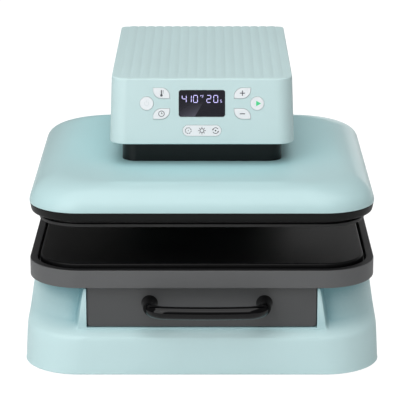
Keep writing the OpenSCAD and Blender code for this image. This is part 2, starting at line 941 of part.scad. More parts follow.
// The head's block between two levels: a leaning front with round corners, drafted sides and a round rear
module head_block(inset, low, high) {
    half = head_w / 2 - inset;
    lean = head_draft / head_h;
    low_half = half - lean * (low - head_z);
    high_half = half - lean * (high - head_z);
    intersection() {
        on_panel(0, -head_d / 2) translate([0, head_d / 2 + inset, 0])
            round_block(2 * half, head_d, 2 * head_d, head_corner - inset);
        translate([0, column_y1 - inset, 0]) rotate([90, 0, 0]) linear_extrude(head_d)
            polygon([[-low_half, low], [low_half, low], [high_half, high], [-high_half, high]]);
        translate([0, column_y1 - inset - head_d / 2, low - overlap])
            round_block(2 * half + 2 * overlap, head_d, high - low + 2 * overlap, rear_corner - inset);
    }
}

module panel_hole() {
    through_panel(-overlap, wall + overlap) children();
}

module panel_holes() {
    on_panel(0, display_s) panel_hole()
        round_rect(display_w + 2 * slip, display_h + 2 * slip, window_r + slip);
    on_panel(0, strip_s) panel_hole()
        round_rect(strip_w + 2 * slip, strip_h + 2 * slip, strip_h / 2 + slip - 0.01);
    for (x = [-round_key_x, round_key_x]) on_panel(x, display_s) panel_hole()
        circle(d = round_key_d + 2 * slip);
    for (x = [-1, 1], up = [-1, 1]) on_panel(x * leaf_x, display_s + up * leaf_rise)
        panel_hole() leaf(leaf_w + 2 * slip, leaf_h + 2 * slip, x * up);
}

board_side = 25;
board_half = head_w / 2 - board_side;
board_low = 6;
board_high = 0.93;

module head_shell() {
    color(mint) in_frame() {
        difference() {
            head_block(0, head_z, lid_z);
            head_block(wall, head_z - overlap, lid_z + overlap);
            panel_holes();
        }
        for (x = [-board_half + 6, board_half - 6], s = [board_low + 6, board_high * panel_len - 6])
            on_panel(x, s) through_panel(wall - 0.5, board_depth) circle(d = 6);
    }
}

floor_gap = 1.2;

module head_floor() {
    hole_w = neck_w + 2 * floor_gap;
    hole_d = neck_d + 2 * floor_gap;
    color(grey) in_frame() difference() {
        head_block(wall, head_z, head_z + wall);
        translate([0, 0, head_z - overlap])
            round_block(hole_w, hole_d, wall + 2 * overlap, neck_corner + floor_gap);
        frame_slot(head_z - overlap);
    }
}

rib_margin = 11;
rib_land = 0.05;

// The section of the ribs: shallow arcs on a thin band that is sunk into the top
module rib_profile() {
    ribbed = head_w - 2 * head_draft - 2 * rib_margin;
    pitch = ribbed / rib_count;
    half = pitch / 2 - 0.25;
    rib_r = (half * half + rib_rise * rib_rise) / (2 * rib_rise);
    translate([-ribbed / 2, -overlap]) square([ribbed, overlap + rib_land]);
    for (i = [0:rib_count - 1]) translate([(i - (rib_count - 1) / 2) * pitch, 0]) intersection() {
        translate([0, rib_rise - rib_r]) circle(r = rib_r, $fn = 180);
        translate([-half, -overlap / 2]) square([2 * half, 2 * overlap]);
    }
}

// The ribbed top: the ribs run from behind the front crease to the rear edge
module top_cover() {
    front = head_y0 + head_h * tan(panel_tilt) + 7;
    rear = column_y1 - 5;
    color(mint) in_frame() {
        head_block(0, lid_z, head_top);
        translate([0, rear, head_top]) rotate([90, 0, 0]) linear_extrude(rear - front) rib_profile();
    }
}

vent_count = 9;
vent_pitch = 16;
vent_w = 4;
vent_h = 50;
vent_z = base_top + 0.65 * (head_z - base_top);

// A rectangular hole through the column's rear wall
module rear_hole(x, z, w, h) {
    translate([x - w / 2, column_y1 - 2 * wall, z - h / 2]) cube([w, 3 * wall, h]);
}

module column_cover() {
    width = head_w - 4;
    mid = (column_y0 + column_y1) / 2;
    color(mint) in_frame() difference() {
        translate([0, mid, base_top]) linear_extrude(head_z - base_top) difference() {
            round_rect(width, column_d, rear_corner);
            round_rect(width - 2 * wall, column_d - 2 * wall, rear_corner - wall);
        }
        for (i = [0:vent_count - 1])
            rear_hole((i - (vent_count - 1) / 2) * vent_pitch, vent_z, vent_w, vent_h);
        rear_hole(inlet_x, inlet_z, inlet_w + 2 * slip, inlet_h + 2 * slip);
        rear_hole(rocker_x, inlet_z, rocker_w + 2 * slip, rocker_h + 2 * slip);
    }
}

// Controls

// A leaf-shaped key: a rectangle with two opposite corners rounded off
module leaf(w, h, hand) {
    mirror([hand > 0 ? 0 : 1, 0]) difference() {
        square([w, h], center = true);
        for (turn = [0, 180]) rotate(turn) translate([-w / 2 + leaf_round, h / 2 - leaf_round]) difference() {
            translate([-leaf_round - overlap, 0]) square(leaf_round + overlap);
            circle(leaf_round);
        }
    }
}

module key_cap() {
    through_panel(-key_proud, wall + slip + key_flange) children();
}

module round_key(x) {
    color(white) in_frame() on_panel(x, display_s) {
        key_cap() circle(d = round_key_d);
        through_panel(wall + slip, wall + slip + key_flange) circle(d = round_key_d + 2.4);
    }
}

module leaf_key(x, up) {
    color(white) in_frame() on_panel(x * leaf_x, display_s + up * leaf_rise) {
        key_cap() leaf(leaf_w, leaf_h, x * up);
        through_panel(wall + slip, wall + slip + key_flange) leaf(leaf_w + 2, leaf_h + 2, x * up);
    }
}

module power_key() {
    round_key(-round_key_x);
}

module start_key() {
    round_key(round_key_x);
}

module temperature_key() {
    leaf_key(-1, 1);
}

module timer_key() {
    leaf_key(-1, -1);
}

module plus_key() {
    leaf_key(1, 1);
}

module minus_key() {
    leaf_key(1, -1);
}

module display_window() {
    color(black) in_frame() on_panel(0, display_s) through_panel(-0.2, wall)
        round_rect(display_w, display_h, window_r);
}

module mode_lights() {
    color(white) in_frame() on_panel(0, strip_s) {
        through_panel(-0.3, wall + 1) round_rect(strip_w, strip_h, strip_h / 2 - 0.01);
        through_panel(wall, board_depth) round_rect(strip_w - 8, strip_h - 5, 2);
    }
}

module control_board() {
    key_back = wall + slip + key_flange;
    high = board_high * panel_len;
    color(board_green) in_frame() {
        on_panel(0, (board_low + high) / 2) through_panel(board_depth, board_depth + board_t)
            square([2 * board_half, high - board_low], center = true);
        on_panel(0, display_s) through_panel(wall, board_depth + board_t / 2)
            square([display_w - 6, display_h - 5], center = true);
        for (x = [-round_key_x, round_key_x]) on_panel(x, display_s) key_switch(key_back);
        for (x = [-leaf_x, leaf_x], up = [-leaf_rise, leaf_rise])
            on_panel(x, display_s + up) key_switch(key_back);
    }
}

module key_switch(key_back) {
    through_panel(key_back + key_travel + switch_gap, board_depth + board_t / 2) square(6, center = true);
}

// Power side

supply_w = 120;
supply_d = 80;
supply_rise = 6;
supply_post = 6;
part_h = 22;
capacitor_d = 14;

// The supply board on its posts, with a transformer, a relay, two capacitors and a heat sink
module power_board() {
    board_z = floor_top + supply_rise;
    right = supply_w - supply_post;
    back = supply_d - supply_post;
    color(board_green) in_frame() translate([-0.58 * supply_w, 0.75 * supply_d, 0]) {
        for (x = [supply_post, right], y = [supply_post, back]) translate([x, y, floor_top])
            cylinder(d = supply_post, h = supply_rise + board_t / 2);
        translate([0, 0, board_z]) cube([supply_w, supply_d, board_t]);
        translate([0, 0, board_z + board_t / 2]) {
            translate([0.08 * supply_w, 0.18 * supply_d, 0]) cube([0.3 * supply_w, 0.38 * supply_d, part_h]);
            translate([0.5 * supply_w, 0.15 * supply_d, 0]) cube([0.24 * supply_w, 0.17 * supply_d, part_h]);
            for (x = [0.52, 0.72]) translate([x * supply_w, 0.5 * supply_d, 0])
                cylinder(d = capacitor_d, h = part_h);
            translate([0.16 * supply_w, 0.7 * supply_d, 0]) cube([0.66 * supply_w, 0.05 * supply_d, part_h]);
        }
    }
}

inlet_w = 28;
inlet_h = 21;
socket_w = 24;
socket_h = 17;
socket_depth = 16;
inlet_depth = 24;
flange_t = 2;

// A body that fills a rear hole, with a flange outside the wall
module flanged_body(w, h, lip) {
    translate([-w / 2, -inlet_depth, -h / 2]) cube([w, inlet_depth, h]);
    translate([-w / 2 - lip, 0, -h / 2 - lip]) cube([w + 2 * lip, flange_t, h + 2 * lip]);
}

module power_inlet() {
    color(black) in_frame() translate([inlet_x, column_y1, inlet_z]) difference() {
        flanged_body(inlet_w, inlet_h, 3);
        translate([-socket_w / 2, flange_t - socket_depth, -socket_h / 2])
            cube([socket_w, socket_depth + overlap, socket_h]);
    }
}

module inlet_pins() {
    color(brass) in_frame() translate([inlet_x, column_y1 + flange_t - socket_depth, inlet_z])
        for (p = [[-7, -2], [0, 2], [7, -2]])
            translate([p[0] - 1, 0, p[1] - 2]) cube([2, socket_depth - 3, 4]);
}

rocker_w = 27;
rocker_h = 21;
rocker_hole_w = 22;
rocker_hole_h = 16;
rocker_pin_d = 3;
rocker_pivot_in = 6;
rocker_rest = 9;

module switch_housing() {
    color(black) in_frame() translate([rocker_x, column_y1, inlet_z]) difference() {
        flanged_body(rocker_w, rocker_h, 2);
        translate([-rocker_hole_w / 2, -16, -rocker_hole_h / 2]) cube([rocker_hole_w, 20, rocker_hole_h]);
        translate([-rocker_w / 2 + 1, -rocker_pivot_in, 0]) rotate([0, 90, 0])
            cylinder(d = rocker_pin_d + 2 * run_gap, h = rocker_w - 2);
    }
}

// The rocker swings on a cross pin in its housing; its front is a shallow vee
module rocker_key() {
    width = rocker_hole_w - 2 * slip;
    color(black) in_frame() translate([rocker_x, column_y1 - rocker_pivot_in, inlet_z])
        rotate([-rocker_rest, 0, 0]) {
        translate([-width / 2, 0, 0]) rotate([90, 0, 90]) linear_extrude(width)
            polygon([[0, -5], [5.5, -6.6], [9.2, -6.2], [7.6, 0], [9.2, 6.2], [5.5, 6.6], [0, 5], [-4, 0]]);
        translate([-rocker_w / 2 + 1.5, 0, 0]) rotate([0, 90, 0])
            cylinder(d = rocker_pin_d, h = rocker_w - 3);
    }
}

base_shell();
base_plate();
rubber_feet();
base_screws();
frame_plate_left();
frame_plate_right();
frame_tie_bars();
frame_bridge();
slide_bracket_left();
slide_bracket_right();
slide_outer_left();
slide_outer_right();
slide_middle_left();
slide_middle_right();
slide_inner_left();
slide_inner_right();
drawer_chassis();
tray();
lower_pad();
drawer_front();
drawer_handle();
handle_screws();
heater_plate();
heating_element();
insulation_blanket();
platen_posts();
thermostat();
platen_bridge();
platen_skirt();
platen_cover();
neck_sleeve();
nut_tube();
lift_nut();
guide_rods();
guide_bushes();
thrust_bearing();
lead_screw();
screw_gear();
drive_pinion();
lift_motor();
head_shell();
head_floor();
top_cover();
column_cover();
display_window();
control_board();
mode_lights();
power_key();
start_key();
temperature_key();
timer_key();
plus_key();
minus_key();
power_board();
power_inlet();
inlet_pins();
switch_housing();
rocker_key();
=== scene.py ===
"""Looks of the automatic heat press: moulded shells, pads, keys, printed signs and a plain studio."""
import json
import math

import bmesh
import bpy
from mathutils import Matrix, Vector

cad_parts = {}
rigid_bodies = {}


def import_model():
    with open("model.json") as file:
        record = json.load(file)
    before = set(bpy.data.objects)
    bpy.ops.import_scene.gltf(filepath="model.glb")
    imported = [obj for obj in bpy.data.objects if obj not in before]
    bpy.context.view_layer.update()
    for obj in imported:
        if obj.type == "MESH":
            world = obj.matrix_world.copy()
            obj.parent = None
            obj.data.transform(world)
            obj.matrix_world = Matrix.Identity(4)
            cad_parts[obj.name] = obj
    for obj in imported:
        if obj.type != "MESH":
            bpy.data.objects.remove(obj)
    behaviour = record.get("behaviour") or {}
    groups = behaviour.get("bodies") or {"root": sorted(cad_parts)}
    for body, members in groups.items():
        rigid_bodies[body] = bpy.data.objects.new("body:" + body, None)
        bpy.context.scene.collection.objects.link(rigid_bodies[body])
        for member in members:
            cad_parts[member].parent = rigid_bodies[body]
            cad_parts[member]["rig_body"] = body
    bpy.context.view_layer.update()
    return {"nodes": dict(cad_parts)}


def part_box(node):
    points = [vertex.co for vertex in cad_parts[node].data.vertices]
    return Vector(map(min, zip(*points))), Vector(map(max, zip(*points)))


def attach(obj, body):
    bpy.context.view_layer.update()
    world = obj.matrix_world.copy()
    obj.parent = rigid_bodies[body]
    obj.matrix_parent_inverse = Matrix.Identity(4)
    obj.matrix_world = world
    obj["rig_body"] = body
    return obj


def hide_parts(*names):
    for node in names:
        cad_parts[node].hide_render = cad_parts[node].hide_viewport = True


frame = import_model()

# Sizes that the frame doesn't give, in metres
MM = 0.001
SHELL_WALL = 3 * MM
FIT_GAP = 0.3 * MM
CORNER_STEPS = 14
BASE_EDGE = 1.8 * MM
DECK_EDGE = 3 * MM
# Steps of the base's side view, in millimetres after the share of its height: how far the sides, the front
# and the rear draw in, and the radius of its corners
BASE_PROFILE = (
    (0.04, 0.6, 0, 0, 65),
    (0.42, 2.4, 0, 0, 72),
    (0.46, 2.9, 1, 0.3, 73),
    (0.48, 3.2, 4, 0.6, 73.5),
    (0.51, 3.7, 10.5, 1, 74),
    (0.55, 4.3, 17, 2, 74.5),
    (0.62, 5.3, 23.5, 3, 74.5),
    (0.74, 7.1, 28, 4, 74.5),
    (1, 11, 31, 6, 74.5),
)
BASE_LEVELS = 44
BASE_STEPS = 88
BASE_INNER_STEPS = 24
DECK_FRONT = 20 * MM
DECK_REAR = 5 * MM
UPRIGHT_INSET = 4.7 * MM
SURROUND_SIDE = 6 * MM
SURROUND_FLARE = 9.5 * MM
SURROUND_PROUD = 2 * MM
SURROUND_SOFT = 5 * MM
SURROUND_FOOT = 0.44
MOUTH_GAP = 1 * MM
MOUTH_DEPTH = 90 * MM
COVER_CORNER = 60.5 * MM
COVER_ROLL = 40 * MM
COVER_LIP = 0.6 * MM
COVER_STEPS = 20
PLATEN_STEPS = 28
PLATE_CORNER = 50 * MM
NECK_CORNER = 18 * MM
HEAD_CORNER = 20 * MM
HEAD_REAR_CORNER = 8 * MM
HEAD_DRAFT = 2.3 * MM
HEAD_HEIGHT = 76.4 * MM
HEAD_FOOT_EDGE = 1.4 * MM
LID_EDGE = 1.8 * MM
PANEL_TILT = math.radians(12)
RIB_COUNT = 17
RIB_MARGIN = 11 * MM
RIB_RISE = 0.8 * MM
RIB_FADE = 16 * MM
PANEL_LENGTH = HEAD_HEIGHT / math.cos(PANEL_TILT)
DISPLAY_RISE = 0.622 * PANEL_LENGTH
DISPLAY_SIZE = (54.6 * MM, 31.4 * MM)
STRIP_RISE = 0.21 * PANEL_LENGTH
STRIP_SIZE = (45.7 * MM, 12.8 * MM)
ROUND_KEY_X = 65.6 * MM
ROUND_KEY_D = 15.9 * MM
LEAF_X = 48 * MM
LEAF_RISE = 12.2 * MM
LEAF_SIZE = (19.5 * MM, 12.4 * MM)
LEAF_ROUND = 10 * MM
KEY_PROUD = 0.8 * MM
PRINT_T = 0.06 * MM
HANDLE_ROOT_D = 19.4 * MM
HANDLE_D = 15 * MM
HANDLE_BOW = 4 * MM
HANDLE_BEND = 20 * MM
HANDLE_SIDES = 36
HANDLE_TURN_STEPS = 12
HANDLE_LEG_STEPS = (0.12, 0.35, 0.62, 1)
HANDLE_SWELL = 1.6
PAD_CROWN = 0.6 * MM
PAD_EDGE = 2.2 * MM
PAD_SLOPE = 60 * MM
PAD_DRAW_IN = 0.5 * MM


def srgb(red, green, blue):
    """A colour as seen on a screen, 0 to 255 each, as the linear value that a shader takes."""
    linear = []
    for channel in (red, green, blue):
        share = channel / 255
        linear.append(share / 12.92 if share <= 0.04045 else ((share + 0.055) / 1.055) ** 2.4)
    return (*linear, 1)


# Pieces and meshes


def new_object(bm, name):
    """Turns a bmesh into an object in the scene."""
    mesh = bpy.data.meshes.new(name)
    bm.to_mesh(mesh)
    bm.free()
    made = bpy.data.objects.new(name, mesh)
    bpy.context.scene.collection.objects.link(made)
    return made


def new_piece(bm, name, body, *nodes):
    """A bmesh as a piece that rides on a body and stands for CAD nodes."""
    piece = new_object(bm, name)
    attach(piece, body)
    if nodes:
        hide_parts(*nodes)
    return piece


def keep_modifiers(piece):
    """Makes the piece's modifiers part of its mesh."""
    depsgraph = bpy.context.evaluated_depsgraph_get()
    mesh = bpy.data.meshes.new_from_object(piece.evaluated_get(depsgraph))
    piece.modifiers.clear()
    piece.data = mesh


def smooth(piece, angle=32):
    """Shades a piece smoothly, with sharp edges above an angle and large faces kept flat."""
    piece.data.shade_smooth()
    piece.data.set_sharp_from_angle(angle=math.radians(angle))
    even = piece.modifiers.new("even shading", "WEIGHTED_NORMAL")
    even.keep_sharp = True


def add_wall(piece, thickness):
    wall = piece.modifiers.new("wall", "SOLIDIFY")
    wall.thickness = thickness
    wall.offset = -1
    wall.use_even_offset = True


def carve(piece, bm):
    """Cuts a bmesh of closed forms out of a piece."""
    bmesh.ops.recalc_face_normals(bm, faces=bm.faces)
    cutter = new_object(bm, "cutter")
    cut = piece.modifiers.new("cut", "BOOLEAN")
    cut.operation = "DIFFERENCE"
    cut.solver = "EXACT"
    cut.use_self = True
    cut.object = cutter
    keep_modifiers(piece)
    bpy.data.objects.remove(cutter)


def only(kind, geom):
    """The vertices, edges or faces among what an operator made."""
    return [g for g in geom if isinstance(g, kind)]


def bevel(bm, geom, radius, steps, affect="EDGES", clamp=False):
    """Rounds edges or corners, and clamp keeps the roundings from crossing."""
    return bmesh.ops.bevel(bm, geom=geom, offset=radius, offset_type="OFFSET", affect=affect,
                           segments=steps, profile=0.5, material=-1, clamp_overlap=clamp)


def eased(share):
    """A share between 0 and 1 with soft ends."""
    share = min(1, max(0, share))
    return share * share * (3 - 2 * share)


def add_box(bm, low, high):
    """A closed box between two corners."""
    low, high = Vector(low), Vector(high)
    place = Matrix.Translation((low + high) / 2) @ Matrix.Diagonal((*(high - low), 1))
    bmesh.ops.create_cube(bm, size=1, matrix=place)


def corner_centre(level, side, back):
    """Where a level's corner arc is centred; a level is (z, half width, front, rear, corner radius)."""
    z, half, front, rear, corner = level
    return Vector((side * (half - corner), rear - corner if back else front + corner, z))


def reshape(verts, old, new):
    """Moves an outline from one level to the next, corner by corner."""
    for v in verts:
        side = 1 if v.co.x > 0 else -1
        back = v.co.y > (old[2] + old[3]) / 2
        from_centre = v.co - corner_centre(old, side, back)
        v.co = corner_centre(new, side, back) + from_centre * (new[4] / old[4])


def moulding(levels, steps=CORNER_STEPS):
    """A closed form drawn up through levels, and its first and last face."""
    bm = bmesh.new()
    z, half, front, rear, corner = levels[0]
    outline = ((half, front), (half, rear), (-half, rear), (-half, front))
    bm.faces.new([bm.verts.new((x, y, z)) for x, y in outline])
    bevel(bm, bm.verts[:], corner, steps, "VERTICES")
    bm.faces.ensure_lookup_table()
    first = bm.faces[0]
    last = first
    for old, new in zip(levels, levels[1:]):
        made = bmesh.ops.extrude_face_region(bm, geom=[last])
        raised = only(bmesh.types.BMFace, made["geom"])[0]
        if last is not first:
            bmesh.ops.delete(bm, geom=[last], context="FACES_ONLY")
        reshape(raised.verts, old, new)
        last = raised
    bmesh.ops.recalc_face_normals(bm, faces=bm.faces)
    return bm, first, last


def open_ends(bm, *faces):
    bmesh.ops.delete(bm, geom=list(faces), context="FACES_ONLY")


def close_ring(bm, first, last):
    """Joins a moulding's first and last outline, so that it becomes a ring."""
    edges = [*first.edges, *last.edges]
    open_ends(bm, first, last)
    bmesh.ops.bridge_loops(bm, edges=edges)
    bmesh.ops.recalc_face_normals(bm, faces=bm.faces)


def sharp_edges(bm, angle=30):
    return [e for e in bm.edges if e.is_manifold and e.calc_face_angle() > math.radians(angle)]


def softened(node, width, steps=3, name=None):
    """A copy of a CAD node with its sharp edges rounded, which stands for the node."""
    source = frame["nodes"][node]
    bm = bmesh.new()
    bm.from_mesh(source.data)
    bmesh.ops.remove_doubles(bm, verts=bm.verts, dist=0.002 * MM)
    bmesh.ops.dissolve_limit(bm, angle_limit=math.radians(0.5), verts=bm.verts, edges=bm.edges)
    bevel(bm, sharp_edges(bm), width, steps, clamp=True)
    piece = new_piece(bm, name or node + "_finished", source["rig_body"], node)
    smooth(piece)
    return piece


# Base shell


def between(rows, share):
    """The values of a profile at a share of its height, joined smoothly and without overshoot."""
    k = next(i for i in range(len(rows) - 1) if share <= rows[i + 1][0] or i == len(rows) - 2)
    low, high = rows[k], rows[k + 1]
    width = high[0] - low[0]
    t = (share - low[0]) / width
    values = []
    for column in range(1, len(rows[0])):
        start = tangent(rows, k, column) * width
        end = tangent(rows, k + 1, column) * width
        values.append((2 * t**3 - 3 * t**2 + 1) * low[column] + (t**3 - 2 * t**2 + t) * start
                      + (3 * t**2 - 2 * t**3) * high[column] + (t**3 - t**2) * end)
    return values


def slope(rows, k, column):
    return (rows[k + 1][column] - rows[k][column]) / (rows[k + 1][0] - rows[k][0])


def tangent(rows, k, column):
    if k == 0:
        return slope(rows, 0, column)
    if k == len(rows) - 1:
        return slope(rows, k - 1, column)
    before, after = slope(rows, k - 1, column), slope(rows, k, column)
    if before * after <= 0:
        return 0
    return 2 * before * after / (before + after)


def base_levels(inset, drop):
    """The base's outlines from the table up, drawn in by inset and lowered by drop."""
    low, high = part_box("base_shell")
    levels = []

    def add(z, side, front, rear, corner):
        levels.append((z - drop, high.x - side - inset, low.y + front + inset, high.y - rear - inset,
                       corner - inset))

    for k in range(4):
        turn = math.radians(90 * k / 4)
        pull = BASE_EDGE * (1 - math.sin(turn))
        add(low.z + BASE_EDGE * (1 - math.cos(turn)), pull, pull, pull, BASE_PROFILE[0][4] * MM)
    for k in range(BASE_LEVELS + 1):
        share = BASE_PROFILE[0][0] + (1 - BASE_PROFILE[0][0]) * k / BASE_LEVELS
        side, front, rear, corner = (value * MM for value in between(BASE_PROFILE, share))
        z = share * high.z
        if z < high.z - DECK_EDGE:
            add(z, side, front, rear, corner)
    side, front, rear, corner = (value * MM for value in BASE_PROFILE[-1][1:])
    for k in range(5):
        turn = math.radians(90 * k / 4)
        pull = DECK_EDGE * (1 - math.cos(turn))
        add(high.z - DECK_EDGE * (1 - math.sin(turn)), side + pull, front + pull, rear + pull, corner)
    return levels


def shape_surround(bm):
    """Brings the middle of the base's front forward as a flat, slant-sided surround for the drawer."""
    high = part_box("base_shell")[1]
    drawer_low, drawer_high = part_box("drawer_front")
    surround_y = drawer_low.y - SURROUND_PROUD
    foot = SURROUND_FOOT * high.z
    for v in bm.verts:
        rise = (high.z - v.co.z) / (high.z - foot)
        half = drawer_high.x + SURROUND_SIDE + SURROUND_FLARE * rise
        share = eased((half - abs(v.co.x)) / SURROUND_SOFT + 0.5)
        if surround_y < v.co.y < 0:
            v.co.y += (surround_y - v.co.y) * share


def base_cutters():
    """The drawer's mouth, the opening in the deck and the slot for the frame's upright."""
    low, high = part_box("base_shell")
    drawer_low, drawer_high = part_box("drawer_front")
    upright_low, upright_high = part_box("column_cover")
    chassis_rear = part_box("drawer_chassis")[1].y
    mouth = drawer_high.x + MOUTH_GAP
    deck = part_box("slide_bracket_right")[0].x + 2 * SHELL_WALL
    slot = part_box("frame_plate_right")[1].x + FIT_GAP
    below, above = high.z - 2 * SHELL_WALL, high.z + SHELL_WALL
    bm = bmesh.new()
    add_box(bm, (-mouth, low.y - MM, drawer_low.z - MOUTH_GAP), (mouth, low.y + MOUTH_DEPTH, above))
    add_box(bm, (-deck, drawer_low.y + DECK_FRONT, below), (deck, chassis_rear + DECK_REAR, above))
    add_box(bm, (-slot, upright_low.y + UPRIGHT_INSET, below), (slot, upright_high.y - UPRIGHT_INSET, above))
    return bm


def base_body():
    bm = moulding(base_levels(0, 0), BASE_STEPS)[0]
    shape_surround(bm)
    piece = new_piece(bm, "base_body", "stand", "base_shell")
    carve(piece, moulding(base_levels(SHELL_WALL, SHELL_WALL), BASE_INNER_STEPS)[0])
    carve(piece, base_cutters())
    smooth(piece)
    return piece


# Upper platen


def plate_middle():
    low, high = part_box("heater_plate")
    return (low.y + high.y) / 2


def square_level(z, half, corner):
    """A square outline around the plate's middle."""
    return (z, half, plate_middle() - half, plate_middle() + half, corner)


def neck_level(z, gap):
    low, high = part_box("neck_sleeve")
    return (z, high.x + gap, low.y - gap, high.y + gap, NECK_CORNER + gap)


def cover_shell():
    low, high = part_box("platen_cover")
    rise = high.z - low.z
    levels = [square_level(low.z, high.x - COVER_LIP, COVER_CORNER - COVER_LIP),
              square_level(low.z + 0.3 * COVER_LIP, high.x - 0.3 * COVER_LIP, COVER_CORNER - 0.3 * COVER_LIP)]
    for k in range(1, COVER_STEPS + 1):
        turn = math.radians(90 * k / COVER_STEPS)
        pull = COVER_ROLL * (1 - math.cos(turn))
        levels.append(square_level(low.z + rise * math.sin(turn), high.x - pull, COVER_CORNER))
    levels.append(neck_level(high.z, FIT_GAP))
    bm, first, last = moulding(levels, PLATEN_STEPS)
    open_ends(bm, first, last)
    piece = new_piece(bm, "cover_shell", "platen", "platen_cover")
    add_wall(piece, SHELL_WALL)
    keep_modifiers(piece)
    smooth(piece)
    return piece


def skirt_ring():
    """The black ring under the cover: nearly flush with it, with a groove above and a rolled lower edge."""
    low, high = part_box("platen_skirt")
    cover_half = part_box("platen_cover")[1].x
    height = (high.z - low.z) / MM
    gap = 2 * FIT_GAP
    hole = (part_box("heater_plate")[1].x + gap, PLATE_CORNER + gap)
    steps = ((0, 4), (0.25, 3.2), (0.8, 2.6), (1.6, 2.2), (3, 1.8), (height - 0.9, 0.6), (height, 1.3))
    levels = [square_level(low.z, *hole)]
    for rise, inset in steps:
        levels.append(square_level(low.z + rise * MM, cover_half - inset * MM, COVER_CORNER - inset * MM))
    levels.append(square_level(high.z, *hole))
    bm, first, last = moulding(levels, PLATEN_STEPS)
    close_ring(bm, first, last)
    piece = new_piece(bm, "skirt_ring", "platen", "platen_skirt")
    smooth(piece)
    return piece


# Head


def head_block(low_z, high_z):
    """The head between two levels: a leaning front, drafted sides and round upright edges."""
    low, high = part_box("head_shell")
    bm = bmesh.new()
    bmesh.ops.create_cube(bm, size=2)
    for v in bm.verts:
        z = high_z if v.co.z > 0 else low_z
        up = z - low.z
        half = high.x - HEAD_DRAFT * up / HEAD_HEIGHT
        y = high.y if v.co.y > 0 else low.y + up * math.tan(PANEL_TILT)
        v.co = (half if v.co.x > 0 else -half, y, z)
    uprights = [e for e in bm.edges if abs(e.verts[0].co.z - e.verts[1].co.z) > MM]
    for edges, radius in (
        ([e for e in uprights if e.verts[0].co.y < 0], HEAD_CORNER),
        ([e for e in uprights if e.verts[0].co.y > 0], HEAD_REAR_CORNER),
    ):
        bevel(bm, edges, radius, 16)
    return bm


def level_face(bm, z):
    return next(f for f in bm.faces if all(abs(v.co.z - z) < 0.01 * MM for v in f.verts))


def round_rim(bm, z, radius, steps):
    """Rounds the edge around a block's level face."""
    bevel(bm, list(level_face(bm, z).edges), radius, steps)


def panel_matrix(x, rise, depth):
    """Sets what is drawn upright at the origin onto the leaning panel."""
    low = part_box("head_shell")[0]
    lean = Matrix.Translation((0, low.y, low.z)) @ Matrix.Rotation(-PANEL_TILT, 4, "X")
    return lean @ Matrix.Translation((x, depth, rise))


def add_panel_shape(bm, size, rounds, place, depth):
    """A flat shape with a radius for each corner, clockwise from the top left, drawn into the panel."""
    half_x, half_z = size[0] / 2, size[1] / 2
    corners = ((-half_x, half_z), (half_x, half_z), (half_x, -half_z), (-half_x, -half_z))
    verts = [bm.verts.new((x, 0, z)) for x, z in corners]
    bm.faces.new(verts)
    whole = set(verts)
    for v, radius in zip(verts, rounds):
        if radius:
            whole.update(bevel(bm, [v], radius, 12, "VERTICES")["verts"])
    whole = {v for v in whole if v.is_valid}
    face = next(f for f in bm.faces if set(f.verts) <= whole)
    made = bmesh.ops.extrude_face_region(bm, geom=[face])
    back = only(bmesh.types.BMVert, made["geom"])
    bmesh.ops.translate(bm, verts=back, vec=(0, depth, 0))
    bmesh.ops.transform(bm, matrix=place, verts=list(whole) + back)


def leaf_rounds(side, up):
    """The round corners of a leaf key: the other two stay sharp."""
    return (0, LEAF_ROUND, 0, LEAF_ROUND) if side * up < 0 else (LEAF_ROUND, 0, LEAF_ROUND, 0)


def panel_cutters():
    bm = bmesh.new()
    start, through = -2 * MM, 8 * MM
    grown = 2 * FIT_GAP
    add_panel_shape(bm, [s + grown for s in DISPLAY_SIZE], [3 * MM] * 4,
                    panel_matrix(0, DISPLAY_RISE, start), through)
    add_panel_shape(bm, [s + grown for s in STRIP_SIZE], [STRIP_SIZE[1] / 2 + 0.98 * FIT_GAP] * 4,
                    panel_matrix(0, STRIP_RISE, start), through)
    for side in (-1, 1):
        add_panel_shape(bm, [ROUND_KEY_D + grown] * 2, [ROUND_KEY_D / 2 + 0.98 * FIT_GAP] * 4,
                        panel_matrix(side * ROUND_KEY_X, DISPLAY_RISE, start), through)
        for up in (-1, 1):
            place = panel_matrix(side * LEAF_X, DISPLAY_RISE + up * LEAF_RISE, start)
            add_panel_shape(bm, [s + grown for s in LEAF_SIZE], leaf_rounds(side, up), place, through)
    return bm


def head_case():
    low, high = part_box("head_shell")
    bm = head_block(low.z, high.z)
    round_rim(bm, low.z, HEAD_FOOT_EDGE, 4)
    open_ends(bm, level_face(bm, low.z), level_face(bm, high.z))
    piece = new_piece(bm, "head_case", "stand", "head_shell")
    add_wall(piece, SHELL_WALL)
    keep_modifiers(piece)
    carve(piece, panel_cutters())
    smooth(piece)
    return piece


def add_ribs(bm, top):
    """A band of shallow round ribs along the lid, which fade out before the front crease."""
    low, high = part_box("top_cover")
    width = 2 * (high.x - RIB_MARGIN)
    front, rear = low.y + LID_EDGE + 4 * MM, high.y - LID_EDGE - 0.5 * MM
    place = Matrix.Translation((0, (front + rear) / 2, top)) @ Matrix.Diagonal((width, rear - front, 1, 1))
    made = bmesh.ops.create_grid(bm, x_segments=RIB_COUNT * 10, y_segments=24, size=0.5, matrix=place)
    for v in made["verts"]:
        across = (v.co.x / width + 0.5) * RIB_COUNT % 1
        fade = eased((v.co.y - front) / RIB_FADE)
        v.co.z += RIB_RISE * (1 - (2 * across - 1) ** 2) * fade + 0.02 * MM
    band = list({f for v in made["verts"] for f in v.link_faces})
    sunk = bmesh.ops.extrude_face_region(bm, geom=band)
    for v in only(bmesh.types.BMVert, sunk["geom"]):
        v.co.z = top - MM
    bmesh.ops.recalc_face_normals(bm, faces=bm.faces)


